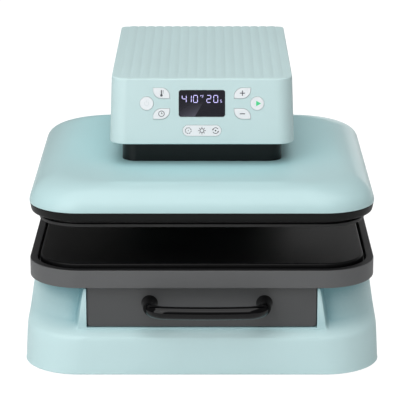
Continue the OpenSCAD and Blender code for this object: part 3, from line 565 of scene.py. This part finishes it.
def ribbed_lid():
    low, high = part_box("top_cover")
    top = high.z - RIB_RISE
    bm = head_block(low.z, top)
    round_rim(bm, top, LID_EDGE, 6)
    add_ribs(bm, top)
    piece = new_piece(bm, "ribbed_lid", "stand", "top_cover")
    smooth(piece)
    return piece


# Drawer


def loop_verts(loop):
    return list({v for e in loop for v in e.verts})


def handle_leg(bm, loop, x, root_y, bend_y, z):
    """Draws a leg from its wide root to the bend, and returns its last loop."""
    root, slim = HANDLE_ROOT_D / 2, HANDLE_D / 2
    size = root
    for share in HANDLE_LEG_STEPS:
        new_size = slim + (root - slim) * (1 - share) ** HANDLE_SWELL
        loop = only(bmesh.types.BMEdge, bmesh.ops.extrude_edge_only(bm, edges=loop)["geom"])
        y = root_y + (bend_y - root_y) * share
        for v in loop_verts(loop):
            v.co = Vector((x + (v.co.x - x) * new_size / size, y, z + (v.co.z - z) * new_size / size))
        size = new_size
    return loop


def handle_bar():
    """Half of the handle is drawn from its root along the leg, the bend and the bowed grip, then mirrored."""
    low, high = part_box("drawer_handle")
    middle = (low.z + high.z) / 2
    leg_x = (high.x - low.x - HANDLE_ROOT_D) / 2
    shift = (high.x + low.x) / 2
    arc = leg_x**2 / (2 * HANDLE_BOW) + HANDLE_BOW / 2
    turn = math.asin((leg_x - HANDLE_BEND) / (arc - HANDLE_BEND))
    arc_y = low.y + HANDLE_D / 2 + arc
    bend_y = arc_y - (arc - HANDLE_BEND) * math.cos(turn)
    bm = bmesh.new()
    place = Matrix.Translation((leg_x, high.y, middle)) @ Matrix.Rotation(math.radians(90), 4, "X")
    made = bmesh.ops.create_circle(bm, segments=HANDLE_SIDES, radius=HANDLE_ROOT_D / 2, matrix=place)
    root_loop = list({e for v in made["verts"] for e in v.link_edges})
    loop = handle_leg(bm, root_loop, leg_x, high.y, bend_y, middle)
    for centre, sweep in (
        ((leg_x - HANDLE_BEND, bend_y, middle), math.radians(90) - turn),
        ((0, arc_y, middle), turn),
    ):
        spun = bmesh.ops.spin(bm, geom=loop + loop_verts(loop), cent=centre, axis=(0, 0, 1), angle=-sweep,
                              steps=HANDLE_TURN_STEPS, use_merge=False)
        loop = only(bmesh.types.BMEdge, spun["geom_last"])
    bmesh.ops.mirror(bm, geom=bm.verts[:] + bm.edges[:] + bm.faces[:], axis="X", merge_dist=0.01 * MM)
    bmesh.ops.remove_doubles(bm, verts=bm.verts, dist=0.01 * MM)
    bmesh.ops.holes_fill(bm, edges=[e for e in bm.edges if e.is_boundary])
    bmesh.ops.recalc_face_normals(bm, faces=bm.faces)
    bmesh.ops.translate(bm, verts=bm.verts, vec=(shift, 0, 0))
    piece = new_piece(bm, "handle_bar", "drawer", "drawer_handle")
    smooth(piece, 50)
    return piece


def pressing_pad():
    """The foam pad: a tucked foot, sides drawn in between the corners, a rolled edge and a low crown."""
    low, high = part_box("lower_pad")
    half = high.x
    shoulder = high.z - PAD_CROWN
    levels = [square_level(low.z, half - MM, PLATE_CORNER - MM),
              square_level(low.z + 1.2 * MM, half - 0.2 * MM, PLATE_CORNER - 0.2 * MM),
              square_level(low.z + 2 * MM, half, PLATE_CORNER)]
    for k in range(9):
        turn = math.radians(90 * k / 8)
        pull = PAD_EDGE * (1 - math.cos(turn))
        z = shoulder - PAD_EDGE * (1 - math.sin(turn))
        levels.append(square_level(z, half - pull, PLATE_CORNER - pull))
    for k in range(1, 6):
        share = k / 5
        inset = PAD_EDGE + share * PAD_SLOPE
        rise = PAD_CROWN * (1 - (1 - share) ** 2)
        levels.append(square_level(shoulder + rise, half - inset, PLATE_CORNER - PAD_EDGE - share * 8 * MM))
    bm = moulding(levels)[0]
    long_edges = [e for e in bm.edges if e.calc_length() > 0.5 * half]
    bmesh.ops.subdivide_edges(bm, edges=long_edges, cuts=12, use_grid_fill=True)
    for v in bm.verts:
        across, along = v.co.x / half, (v.co.y - plate_middle()) / half
        v.co.x -= across * PAD_DRAW_IN * max(0, 1 - along * along)
        v.co.y -= along * PAD_DRAW_IN * max(0, 1 - across * across)
    piece = new_piece(bm, "pressing_pad", "drawer", "lower_pad")
    smooth(piece)
    return piece


def fibre_blanket():
    piece = softened("insulation_blanket", 3 * MM, 4, "fibre_blanket")
    return piece


# Printed signs on the panel, drawn upright in X and Z


def add_bar(bm, width, height, x=0, z=0, turn=0):
    place = Matrix.Translation((x, 0, z)) @ Matrix.Rotation(math.radians(turn), 4, "Y")
    bmesh.ops.create_cube(bm, size=1, matrix=place @ Matrix.Diagonal((width, PRINT_T, height, 1)))


def add_arc(bm, radius, stroke, x=0, z=0, start=0, sweep=360):
    """A stroke along an arc, from start clockwise as seen from the front, 0 being to the right."""
    whole = sweep == 360
    place = Matrix.Translation((x, 0, z)) @ Matrix.Rotation(math.radians(start), 4, "Y")
    place = place @ Matrix.Translation((radius, 0, 0)) @ Matrix.Diagonal((stroke, PRINT_T, 1, 1))
    verts = bmesh.ops.create_grid(bm, x_segments=1, y_segments=1, size=0.5, matrix=place)["verts"]
    face = verts[0].link_faces[0]
    edges = list(face.edges)
    if whole:
        bmesh.ops.delete(bm, geom=[face], context="FACES_ONLY")
    geom = verts + edges + ([] if whole else [face])
    bmesh.ops.spin(bm, geom=geom, cent=(x, 0, z), axis=(0, 1, 0), angle=math.radians(sweep),
                   steps=max(4, round(sweep / 10)), use_merge=whole)


def add_disc(bm, radius, x=0, z=0, sides=24, turn=0):
    place = Matrix.Translation((x, -PRINT_T / 2, z)) @ Matrix.Rotation(math.radians(90), 4, "X")
    place = place @ Matrix.Rotation(math.radians(turn), 4, "Z")
    verts = bmesh.ops.create_circle(bm, cap_ends=True, segments=sides, radius=radius, matrix=place)["verts"]
    made = bmesh.ops.extrude_face_region(bm, geom=[verts[0].link_faces[0]])
    back = only(bmesh.types.BMVert, made["geom"])
    bmesh.ops.translate(bm, verts=back, vec=(0, PRINT_T, 0))


SEGMENTS = {"0": "abcdef", "1": "bc", "2": "abged", "4": "fgbc", "F": "afge", "S": "afgcd"}


def add_digit(bm, sign, x, z, width, height, stroke):
    """A seven-segment sign with its lower left corner at x, z."""
    half = height / 2
    long_bar, tall_bar = width - 1.5 * stroke, half - 1.5 * stroke
    places = {"a": (width / 2, height), "g": (width / 2, half), "d": (width / 2, 0),
              "f": (0, 1.5 * half), "b": (width, 1.5 * half), "e": (0, 0.5 * half), "c": (width, 0.5 * half)}
    for segment in SEGMENTS[sign]:
        at_x, at_z = places[segment]
        flat = segment in "agd"
        add_bar(bm, long_bar if flat else stroke, stroke if flat else tall_bar, x + at_x, z + at_z)


def print_on(draw, name, body, x, rise, depth):
    """Draws a sign and sets it on the panel, half sunk into what carries it."""
    bm = bmesh.new()
    draw(bm)
    bmesh.ops.recalc_face_normals(bm, faces=bm.faces)
    bmesh.ops.transform(bm, matrix=panel_matrix(x, rise, depth), verts=bm.verts)
    return new_piece(bm, name, body)


def power_sign(bm):
    add_arc(bm, 2.6 * MM, 0.55 * MM, start=-60, sweep=300)
    add_bar(bm, 0.55 * MM, 2.6 * MM, z=2.2 * MM)


def start_sign(bm):
    add_disc(bm, 3.8 * MM, x=0.6 * MM, sides=3, turn=-90)


def thermometer_sign(bm):
    add_disc(bm, 1.5 * MM, z=-2.6 * MM)
    add_bar(bm, 1.3 * MM, 5.6 * MM, z=0.4 * MM)
    add_disc(bm, 0.65 * MM, z=3.2 * MM)
    for z in (0.2, 1.7, 3.2):
        add_bar(bm, 1.2 * MM, 0.6 * MM, x=2.1 * MM, z=z * MM)


def clock_sign(bm):
    add_arc(bm, 3.3 * MM, 0.8 * MM)
    add_bar(bm, 0.7 * MM, 2.2 * MM, z=0.8 * MM)
    add_bar(bm, 1.8 * MM, 0.7 * MM, x=0.7 * MM)


def plus_sign(bm):
    add_bar(bm, 6.2 * MM, 1.1 * MM)
    add_bar(bm, 1.1 * MM, 6.2 * MM)


def minus_sign(bm):
    add_bar(bm, 6.2 * MM, 1.1 * MM)


def mode_signs(bm):
    pitch, ring, stroke = 16.2 * MM, 3.4 * MM, 0.8 * MM
    for k in range(8):
        add_arc(bm, ring, stroke, x=-pitch, start=45 * k, sweep=32)
    add_disc(bm, 0.5 * MM, x=-pitch)
    add_arc(bm, 2.3 * MM, stroke)
    for k in range(8):
        turn = math.radians(45 * k)
        reach = 3.8 * MM
        add_bar(bm, 1.3 * MM, stroke, reach * math.cos(turn), -reach * math.sin(turn), 45 * k)
    for start in (20, 200):
        add_arc(bm, ring, stroke, x=pitch, start=start, sweep=130)
        turn = math.radians(start)
        tip_x, tip_z = pitch + ring * math.cos(turn), -ring * math.sin(turn)
        add_disc(bm, 1.2 * MM, x=tip_x, z=tip_z, sides=3, turn=-start)
    add_disc(bm, 0.9 * MM, x=pitch)


def display_signs(bm):
    """The temperature and the seconds, each with a small unit mark."""
    width, height, stroke = 4.8 * MM, 8.4 * MM, 0.65 * MM
    low = 1.2 * MM
    for sign, x in (("4", -23.4), ("1", -17.4), ("0", -10), ("2", 5.8), ("0", 14)):
        add_digit(bm, sign, x * MM, low, width, height, stroke)
    small = 0.36
    for sign, x, z in (("F", 0.4, 6.6), ("S", 21.8, 1.2)):
        add_digit(bm, sign, x * MM, z * MM, small * width, small * height, 0.6 * stroke)
    add_arc(bm, 0.5 * MM, 0.35 * MM, x=-1.2 * MM, z=low + height - 0.4 * MM)


# Shared shader effects


def socket_name(key):
    """A shader socket's name from a plain word with underscores."""
    return key.replace("_", " ").title().replace("Ior", "IOR")


def new_group(name, inputs, outputs):
    group = bpy.data.node_groups.new(name, "ShaderNodeTree")
    for socket, value in inputs.items():
        made = group.interface.new_socket(socket, in_out="INPUT", socket_type="NodeSocketFloat")
        made.default_value = value
    for socket in outputs:
        group.interface.new_socket(socket, in_out="OUTPUT", socket_type="NodeSocketFloat")
    return group, group.nodes.new("NodeGroupInput"), group.nodes.new("NodeGroupOutput")


def add_node(tree, kind, links=(), **values):
    """A node with its settings, its input values and links into its inputs."""
    node = tree.nodes.new(kind)
    for key, value in values.items():
        if hasattr(node, key):
            setattr(node, key, value)
        else:
            node.inputs[socket_name(key)].default_value = value
    for source, socket in links:
        tree.links.new(source, node.inputs[socket])
    return node


def spread(tree, source, low, high, to_low, to_high):
    """Maps a varying value onto another range."""
    node = tree.nodes.new("ShaderNodeMapRange")
    tree.links.new(source, node.inputs["Value"])
    for socket, value in (("From Min", low), ("From Max", high), ("To Min", to_low), ("To Max", to_high)):
        node.inputs[socket].default_value = value
    return node.outputs["Result"]


def multiply(tree, first, second):
    """The product of two varying values."""
    links = [(first, 0), (second, 1)]
    return add_node(tree, "ShaderNodeMath", links, operation="MULTIPLY").outputs["Value"]


def skin_group():
    """Moulded or painted skin: slow tone changes and fine grain."""
    group, start, end = new_group("skin", {"Tone Scale": 14, "Grain Scale": 900}, ("Tone", "Grain"))
    place = add_node(group, "ShaderNodeTexCoord").outputs["Object"]
    for scale, detail, out in (("Tone Scale", 3, "Tone"), ("Grain Scale", 2, "Grain")):
        noise = add_node(group, "ShaderNodeTexNoise",
                         [(place, "Vector"), (start.outputs[scale], "Scale")], detail=detail)
        group.links.new(spread(group, noise.outputs["Fac"], 0.15, 0.85, 0, 1), end.inputs[out])
    return group


def streak_group():
    """Drawn or rolled metal: long fine streaks along Y."""
    group, start, end = new_group("streaks", {"Streak Scale": 260}, ("Streak",))
    place = add_node(group, "ShaderNodeTexCoord").outputs["Object"]
    long = add_node(group, "ShaderNodeMapping", [(place, "Vector")])
    long.inputs["Scale"].default_value = (1, 0.03, 1)
    noise = add_node(group, "ShaderNodeTexNoise",
                     [(long.outputs["Vector"], "Vector"), (start.outputs["Streak Scale"], "Scale")], detail=3)
    group.links.new(spread(group, noise.outputs["Fac"], 0.3, 0.7, 0, 1), end.inputs["Streak"])
    return group


def weave_group():
    """A plain weave in X and Y, as thread height."""
    group, start, end = new_group("weave", {"Threads": 420}, ("Height",))
    place = add_node(group, "ShaderNodeTexCoord").outputs["Object"]
    waves = []
    for direction in ("X", "Y"):
        wave = add_node(group, "ShaderNodeTexWave", [(place, "Vector"), (start.outputs["Threads"], "Scale")])
        wave.bands_direction = direction
        wave.inputs["Distortion"].default_value = 0.6
        waves.append(wave.outputs["Fac"])
    group.links.new(multiply(group, *waves), end.inputs["Height"])
    return group


def rub_group():
    """Where edges and corners stand out and are handled or scuffed."""
    group, start, end = new_group("edge rub", {"Patch Scale": 60}, ("Rub",))
    place = add_node(group, "ShaderNodeTexCoord").outputs["Object"]
    shape = add_node(group, "ShaderNodeNewGeometry").outputs["Pointiness"]
    patch = add_node(group, "ShaderNodeTexNoise",
                     [(place, "Vector"), (start.outputs["Patch Scale"], "Scale")], detail=4)
    edges = spread(group, shape, 0.52, 0.62, 0, 1)
    patches = spread(group, patch.outputs["Fac"], 0.4, 0.65, 0, 1)
    group.links.new(multiply(group, edges, patches), end.inputs["Rub"])
    return group


def shade_group():
    """Where neighbouring surfaces keep light out, from the drawer's sill up."""
    group, start, end = new_group("shade", {"Reach": 0.1}, ("Shade",))
    place = add_node(group, "ShaderNodeTexCoord").outputs["Object"]
    height = add_node(group, "ShaderNodeSeparateXYZ", [(place, "Vector")]).outputs["Z"]
    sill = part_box("drawer_front")[0].z
    nearby = add_node(group, "ShaderNodeAmbientOcclusion", [(start.outputs["Reach"], "Distance")], samples=8)
    sheltered = spread(group, nearby.outputs["AO"], 0.6, 0.97, 1, 0)
    above_sill = spread(group, height, sill - 6 * MM, sill + 4 * MM, 0, 1)
    group.links.new(multiply(group, sheltered, above_sill), end.inputs["Shade"])
    return group


SKIN = skin_group()
STREAKS = streak_group()
WEAVE = weave_group()
RUB = rub_group()
SHADE = shade_group()


# Materials


def use_group(tree, group, **values):
    node = tree.nodes.new("ShaderNodeGroup")
    node.node_tree = group
    for key, value in values.items():
        node.inputs[socket_name(key)].default_value = value
    return node


def new_finish(name, **sockets):
    material = bpy.data.materials.new(name)
    material.use_nodes = True
    surface = material.node_tree.nodes["Principled BSDF"]
    for key, value in sockets.items():
        surface.inputs[socket_name(key)].default_value = value
    return material, material.node_tree, surface


# Places of the two colours and the result on a Mix node
MIX_FIRST = 6
MIX_SECOND = 7
MIX_RESULT = 2


def tint(tree, surface, factor, first, second):
    """Colours the surface between two tones by a varying factor."""
    mix = tree.nodes.new("ShaderNodeMix")
    mix.data_type = "RGBA"
    tree.links.new(factor, mix.inputs["Factor"])
    mix.inputs[MIX_FIRST].default_value = first
    mix.inputs[MIX_SECOND].default_value = second
    tree.links.new(mix.outputs[MIX_RESULT], surface.inputs["Base Color"])
    return mix


def turn_to(tree, surface, factor, colour):
    """Turns the surface's colour towards another one by a varying factor."""
    toned = surface.inputs["Base Color"].links[0].from_socket
    mix = tint(tree, surface, factor, colour, colour)
    tree.links.new(toned, mix.inputs[MIX_FIRST])


def bump(tree, surface, height, strength, distance):
    node = tree.nodes.new("ShaderNodeBump")
    node.inputs["Strength"].default_value = strength
    node.inputs["Distance"].default_value = distance
    tree.links.new(height, node.inputs["Height"])
    tree.links.new(node.outputs["Normal"], surface.inputs["Normal"])


def moulded(name, colour, rough, grain=(0.04, 0.01), tone=0.02, tone_scale=9, grain_scale=700, **sockets):
    """A moulded plastic: slow tone changes, a little uneven gloss and fine grain."""
    material, tree, surface = new_finish(name, **sockets)
    skin = use_group(tree, SKIN, tone_scale=tone_scale, grain_scale=grain_scale)
    dark = [c * (1 - tone) for c in colour[:3]]
    light = [c * (1 + tone) for c in colour[:3]]
    tint(tree, surface, skin.outputs["Tone"], (*dark, 1), (*light, 1))
    gloss = spread(tree, skin.outputs["Tone"], 0, 1, rough[0], rough[1])
    tree.links.new(gloss, surface.inputs["Roughness"])
    bump(tree, surface, skin.outputs["Grain"], grain[0], grain[1] * MM)
    return material


def shaded(material, shade_colour):
    """Paints shade into a finish: its colour turns towards another one where neighbouring surfaces keep light
    out.
    """
    tree = material.node_tree
    turn_to(tree, tree.nodes["Principled BSDF"], use_group(tree, SHADE).outputs["Shade"], shade_colour)


def painted_rim_shade(material, node, top):
    """Paints shade along the top of the node that wears it: a darker colour standing in for the shadow and
    dark reflection of what hangs above.
    """
    tree = material.node_tree
    place = add_node(tree, "ShaderNodeTexCoord").outputs["Object"]
    height = add_node(tree, "ShaderNodeSeparateXYZ", [(place, "Vector")]).outputs["Z"]
    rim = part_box(node)[1].z
    shaded_rim = spread(tree, height, rim - 0.6 * MM, rim - 0.1 * MM, 0, 1)
    turn_to(tree, tree.nodes["Principled BSDF"], shaded_rim, top)


def metal(name, colour, rough, streak=0.12, **sockets):
    """A metal with drawn streaks."""
    material, tree, surface = new_finish(name, metallic=1, **sockets)
    lines = use_group(tree, STREAKS)
    dark = [c * (1 - streak) for c in colour[:3]]
    light = [min(1, c * (1 + streak)) for c in colour[:3]]
    tint(tree, surface, lines.outputs["Streak"], (*dark, 1), (*light, 1))
    gloss = spread(tree, lines.outputs["Streak"], 0, 1, rough[0], rough[1])
    tree.links.new(gloss, surface.inputs["Roughness"])
    bump(tree, surface, lines.outputs["Streak"], 0.1, 0.01 * MM)
    return material


def rubbed_paint(name, colour, bare, rough):
    """Painted or coated sheet with edges rubbed lighter."""
    material, tree, surface = new_finish(name)
    skin = use_group(tree, SKIN, tone_scale=22, grain_scale=1400)
    rub = use_group(tree, RUB)
    tint(tree, surface, rub.outputs["Rub"], colour, bare)
    gloss = spread(tree, skin.outputs["Tone"], 0, 1, rough[0], rough[1])
    tree.links.new(gloss, surface.inputs["Roughness"])
    bump(tree, surface, skin.outputs["Grain"], 0.15, 0.03 * MM)
    return material


def woven(name, colour, thread, rough, threads, shine):
    """Cloth: two tones by thread height, matt, with the weave in the bump."""
    material, tree, surface = new_finish(name, roughness=rough, specular_ior_level=shine)
    weave = use_group(tree, WEAVE, threads=threads)
    tint(tree, surface, weave.outputs["Height"], colour, thread)
    bump(tree, surface, weave.outputs["Height"], 0.5, 0.15 * MM)
    return material


def glowing(name, colour, strength):
    """A lit sign, a little uneven along its strokes."""
    material, tree, surface = new_finish(name, emission_strength=strength, roughness=0.4)
    skin = use_group(tree, SKIN, tone_scale=240, grain_scale=1500)
    mix = tint(tree, surface, skin.outputs["Tone"], [0.85 * c for c in colour[:3]] + [1], colour)
    tree.links.new(mix.outputs[MIX_RESULT], surface.inputs["Emission Color"])
    return material


def window_finish():
    """Smoked display glass: blue-black, with a painted reflection, a faint slanting lighter band in its lower
    left part.
    """
    material, tree, surface = new_finish("smoked window", coat_weight=0.6, coat_roughness=0.06)
    low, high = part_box("display_window")
    place = add_node(tree, "ShaderNodeTexCoord").outputs["Object"]
    parts = add_node(tree, "ShaderNodeSeparateXYZ", [(place, "Vector")])
    # Painted reflection: a slanting band across the lower left of the glass, lighter inside and fading
    # upwards
    slope_x = -0.6
    slant = add_node(tree, "ShaderNodeMath", [(parts.outputs["Z"], 0), (parts.outputs["X"], 2)],
                     operation="MULTIPLY_ADD")
    slant.inputs[1].default_value = slope_x
    edge = slope_x * (low.z + high.z) / 2
    glow = spread(tree, slant.outputs["Value"], edge + low.x, edge, 0, 1)
    stop = spread(tree, slant.outputs["Value"], edge, edge + MM, 1, 0)
    fade = spread(tree, parts.outputs["Z"], low.z, 0.4 * low.z + 0.6 * high.z, 1, 0)
    painted_reflection = multiply(tree, multiply(tree, glow, stop), fade)
    tint(tree, surface, painted_reflection, srgb(24, 23, 32), srgb(78, 76, 88))
    skin = use_group(tree, SKIN, tone_scale=40, grain_scale=1200)
    gloss = spread(tree, skin.outputs["Tone"], 0, 1, 0.16, 0.24)
    tree.links.new(gloss, surface.inputs["Roughness"])
    return material


mint_gloss = moulded("mint gloss", srgb(174, 203, 205), (0.34, 0.42), specular_ior_level=0.4, coat_weight=0.2,
                     coat_roughness=0.12)
# Painted reflection: where the cover is sheltered, near the neck, it turns lighter and bluer, standing in for
# the head mirrored in it
shaded(mint_gloss, srgb(182, 228, 232))
mint_satin = moulded("mint satin", srgb(186, 209, 210), (0.46, 0.54))
mint_base = moulded("mint base", srgb(186, 213, 215), (0.46, 0.54))
# Painted shade: the base turns deep teal under the tray and beside the drawer, where light is kept out
shaded(mint_base, srgb(108, 157, 166))
black_gloss = moulded("black gloss", srgb(3, 3, 4), (0.05, 0.09), specular_ior_level=0.25)
black_satin = moulded("black satin", srgb(5, 11, 12), (0.3, 0.4), specular_ior_level=0.3)
skirt_black = moulded("skirt black", srgb(3, 4, 4), (0.36, 0.46), specular_ior_level=0.2)
tray_grey = moulded("tray grey", srgb(82, 83, 84), (0.42, 0.52), grain=(0.25, 0.04), grain_scale=700)
# Painted shade: the tray's top rim is painted dark, standing in for the shadow and dark reflection of the
# platen above
painted_rim_shade(tray_grey, "tray", srgb(30, 30, 31))
drawer_grey = moulded("drawer grey", srgb(66, 67, 68), (0.42, 0.52), grain=(0.25, 0.04), grain_scale=700)
floor_grey = moulded("underside grey", srgb(60, 64, 65), (0.5, 0.6), grain=(0.3, 0.04))
key_white = moulded("key white", srgb(222, 225, 228), (0.3, 0.38), tone=0.02, tone_scale=60)
nylon = moulded("nylon", srgb(226, 224, 214), (0.4, 0.5), tone=0.03, tone_scale=60)
rubber = moulded("foot rubber", srgb(28, 28, 28), (0.75, 0.9), grain=(0.5, 0.08))
sign_ink = moulded("sign ink", srgb(70, 72, 78), (0.5, 0.6), tone_scale=200)
mode_ink = moulded("mode ink", srgb(48, 48, 56), (0.5, 0.6), tone_scale=200)
power_ink = moulded("power ink", srgb(206, 211, 214), (0.4, 0.5), tone_scale=200)
start_ink = moulded("start ink", srgb(66, 204, 136), (0.4, 0.5), tone_scale=200)
ceramic = moulded("ceramic", srgb(232, 228, 216), (0.2, 0.35), tone_scale=90)
board = moulded("circuit board", srgb(28, 88, 60), (0.35, 0.5), tone=0.2, tone_scale=160, grain_scale=500)
zinc = metal("zinc sheet", srgb(186, 188, 190), (0.3, 0.45))
rod_steel = metal("ground steel", srgb(200, 201, 203), (0.14, 0.24), streak=0.05)
element_steel = metal("element steel", srgb(120, 112, 104), (0.4, 0.6), streak=0.2)
brass = metal("brass", srgb(206, 170, 98), (0.22, 0.36))
frame_paint = rubbed_paint("frame paint", srgb(58, 60, 62), srgb(120, 122, 124), (0.45, 0.6))
plate_coat = rubbed_paint("plate coating", srgb(7, 8, 9), srgb(50, 51, 52), (0.42, 0.52))
pad_cloth = woven("pad cloth", srgb(4, 4, 5), srgb(12, 12, 13), 0.42, 420, 0.18)
blanket_fibre = woven("blanket fibre", srgb(196, 192, 180), srgb(232, 229, 220), 0.95, 150, 0.25)
digit_glow = glowing("digit glow", srgb(190, 182, 236), 1.2)
smoked_window = window_finish()


def paint(piece, material):
    piece.data.materials.clear()
    piece.data.materials.append(material)


# Dressing

SHELLS = ((base_body, "mint_shell", mint_base), (cover_shell, "mint_shell", mint_gloss),
          (skirt_ring, "black_plastic", skirt_black), (head_case, "mint_shell", mint_satin),
          (ribbed_lid, "mint_shell", mint_satin), (handle_bar, "black_gloss", black_gloss),
          (pressing_pad, "pad_foam", pad_cloth), (fibre_blanket, "fibre_blanket", blanket_fibre))
for make, slot, material in SHELLS:
    piece = make()
    paint(piece, material)

SOFTENED = (
    (1.2, "grey_plastic", tray_grey, ("tray",)),
    (0.8, "grey_plastic", drawer_grey, ("drawer_front",)),
    (0.8, "mint_shell", mint_satin, ("column_cover",)),
    (0.5, "black_plastic", black_satin, ("neck_sleeve",)),
    (0.8, "coated_aluminium", plate_coat, ("heater_plate",)),
    (0.5, "black_plastic", black_satin, ("power_inlet", "switch_housing")),
    (0.4, "black_plastic", black_satin, ("rocker_key",)),
    (0.15, "window", smoked_window, ("display_window",)),
    (0.25, "white_plastic", key_white, ("mode_lights",)),
    (0.35, "white_plastic", key_white, ("power_key", "start_key", "temperature_key", "timer_key", "plus_key",
                                        "minus_key")),
    (0.6, "foot_rubber", rubber, ("rubber_feet",)),
)
for width, slot, material, nodes in SOFTENED:
    for node in nodes:
        piece = softened(node, width * MM)
        paint(piece, material)

SIGNS = ((power_sign, "power_button", -ROUND_KEY_X, DISPLAY_RISE, -KEY_PROUD, power_ink),
         (start_sign, "start_button", ROUND_KEY_X, DISPLAY_RISE, -KEY_PROUD, start_ink),
         (thermometer_sign, "temperature_button", -LEAF_X, DISPLAY_RISE + LEAF_RISE, -KEY_PROUD, sign_ink),
         (clock_sign, "timer_button", -LEAF_X, DISPLAY_RISE - LEAF_RISE, -KEY_PROUD, sign_ink),
         (plus_sign, "plus_button", LEAF_X, DISPLAY_RISE + LEAF_RISE, -KEY_PROUD, sign_ink),
         (minus_sign, "minus_button", LEAF_X, DISPLAY_RISE - LEAF_RISE, -KEY_PROUD, sign_ink),
         (mode_signs, "stand", 0, STRIP_RISE, -0.3 * MM, mode_ink),
         (display_signs, "stand", 0, DISPLAY_RISE, -0.2 * MM, digit_glow))
for draw, body, x, rise, depth, material in SIGNS:
    paint(print_on(draw, draw.__name__, body, x, rise, depth), material)

CAD_FINISHES = (
    (frame_paint, ("frame_plate_left", "frame_plate_right", "frame_tie_bars", "frame_bridge",
                   "slide_bracket_left", "slide_bracket_right", "lift_motor")),
    (zinc, ("base_plate", "base_screws", "slide_outer_left", "slide_outer_right", "slide_middle_left",
            "slide_middle_right", "slide_inner_left", "slide_inner_right", "drawer_chassis",
            "handle_screws", "platen_posts", "platen_bridge", "nut_tube")),
    (rod_steel, ("guide_rods", "thrust_bearing", "lead_screw")),
    (element_steel, ("heating_element",)),
    (brass, ("lift_nut", "guide_bushes", "drive_pinion", "inlet_pins")),
    (nylon, ("screw_gear",)),
    (floor_grey, ("head_floor",)),
    (board, ("control_board", "power_board")),
    (ceramic, ("thermostat",)),
)
for material, nodes in CAD_FINISHES:
    for node in nodes:
        paint(frame["nodes"][node], material)


# Studio

WORLD_LIGHT = 0.29
WORLD_MIRRORED = 0.2
FLOOR_GLOW = 1.15
FLOOR_LIT_SHARE = 0.9
# Each lamp's name, place, aim, size and power
LAMPS = (
    ("key light", (-1.6, -2.05, 1.3), (0, 0, 0.15), (2.2, 2.2), 33),
    ("top light", (-0.2, -0.5, 2.6), (0, 0, 0.2), (3, 3), 51),
    ("front light", (-0.3, -2, 2.2), (0, -0.1, 0.2), (2.2, 1.6), 11),
    ("fill light", (1.2, -2.2, 0.25), (0, 0, 0.15), (1.2, 0.4), 0.8),
    ("back light", (1.05, 2.2, 0.3), (0.1, 0, 0.15), (2.4, 0.5), 4.4),
)
PHOTO_SIZE = 416
PHOTO_FOCUS = 2100
CAMERA_PLACE = (0.0072, -2.5172, 0.8648)
CAMERA_TURN = (math.radians(74), 0, 0)


def studio_world():
    """A surround that is white for the camera, dimmer as a light and darker in mirror images."""
    world = bpy.data.worlds.new("studio")
    bpy.context.scene.world = world
    world.use_nodes = True
    tree = world.node_tree
    light_path = tree.nodes.new("ShaderNodeLightPath")
    shader = tree.nodes["Background"].outputs["Background"]
    tree.nodes["Background"].inputs["Color"].default_value = (1, 1, 1, 1)
    tree.nodes["Background"].inputs["Strength"].default_value = WORLD_LIGHT
    for ray, strength in (("Is Glossy Ray", WORLD_MIRRORED), ("Is Camera Ray", 1)):
        shown = tree.nodes.new("ShaderNodeBackground")
        shown.inputs["Color"].default_value = (1, 1, 1, 1)
        shown.inputs["Strength"].default_value = strength
        mix = tree.nodes.new("ShaderNodeMixShader")
        tree.links.new(light_path.outputs[ray], mix.inputs["Fac"])
        tree.links.new(shader, mix.inputs[1])
        tree.links.new(shown.outputs["Background"], mix.inputs[2])
        shader = mix.outputs["Shader"]
    tree.links.new(shader, tree.nodes["World Output"].inputs["Surface"])


def soft_light(name, place, aim, size, power):
    data = bpy.data.lights.new(name, "AREA")
    data.shape = "RECTANGLE"
    data.size, data.size_y = size
    data.energy = power
    lamp = bpy.data.objects.new(name, data)
    lamp.location = place
    lamp.rotation_euler = (Vector(aim) - Vector(place)).to_track_quat("-Z", "Y").to_euler()
    bpy.context.scene.collection.objects.link(lamp)


def floor_finish():
    """A white floor that is lit for the camera, and keeps the part's soft shadow."""
    material = bpy.data.materials.new("studio floor")
    material.use_nodes = True
    tree = material.node_tree
    surface = tree.nodes["Principled BSDF"]
    surface.inputs["Base Color"].default_value = (0.85, 0.85, 0.85, 1)
    surface.inputs["Roughness"].default_value = 0.9
    surface.inputs["Specular IOR Level"].default_value = 0
    glow = tree.nodes.new("ShaderNodeEmission")
    glow.inputs["Strength"].default_value = FLOOR_GLOW
    light_path = tree.nodes.new("ShaderNodeLightPath")
    lit = tree.nodes.new("ShaderNodeMath")
    lit.operation = "MULTIPLY"
    lit.inputs[1].default_value = FLOOR_LIT_SHARE
    tree.links.new(light_path.outputs["Is Camera Ray"], lit.inputs[0])
    mix = tree.nodes.new("ShaderNodeMixShader")
    tree.links.new(lit.outputs["Value"], mix.inputs["Fac"])
    tree.links.new(surface.outputs["BSDF"], mix.inputs[1])
    tree.links.new(glow.outputs["Emission"], mix.inputs[2])
    tree.links.new(mix.outputs["Shader"], tree.nodes["Material Output"].inputs["Surface"])
    return material


def studio_floor():
    bm = bmesh.new()
    bmesh.ops.create_grid(bm, x_segments=1, y_segments=1, size=30)
    floor = new_object(bm, "floor")
    floor.data.materials.append(floor_finish())


def photo_camera():
    data = bpy.data.cameras.new("camera")
    data.sensor_width = 36
    data.lens = data.sensor_width * PHOTO_FOCUS / PHOTO_SIZE
    camera = bpy.data.objects.new("camera", data)
    camera.location = CAMERA_PLACE
    camera.rotation_euler = CAMERA_TURN
    bpy.context.scene.collection.objects.link(camera)
    bpy.context.scene.camera = camera


studio_world()
studio_floor()
for lamp in LAMPS:
    soft_light(*lamp)
photo_camera()
bpy.context.scene.view_settings.view_transform = "Standard"
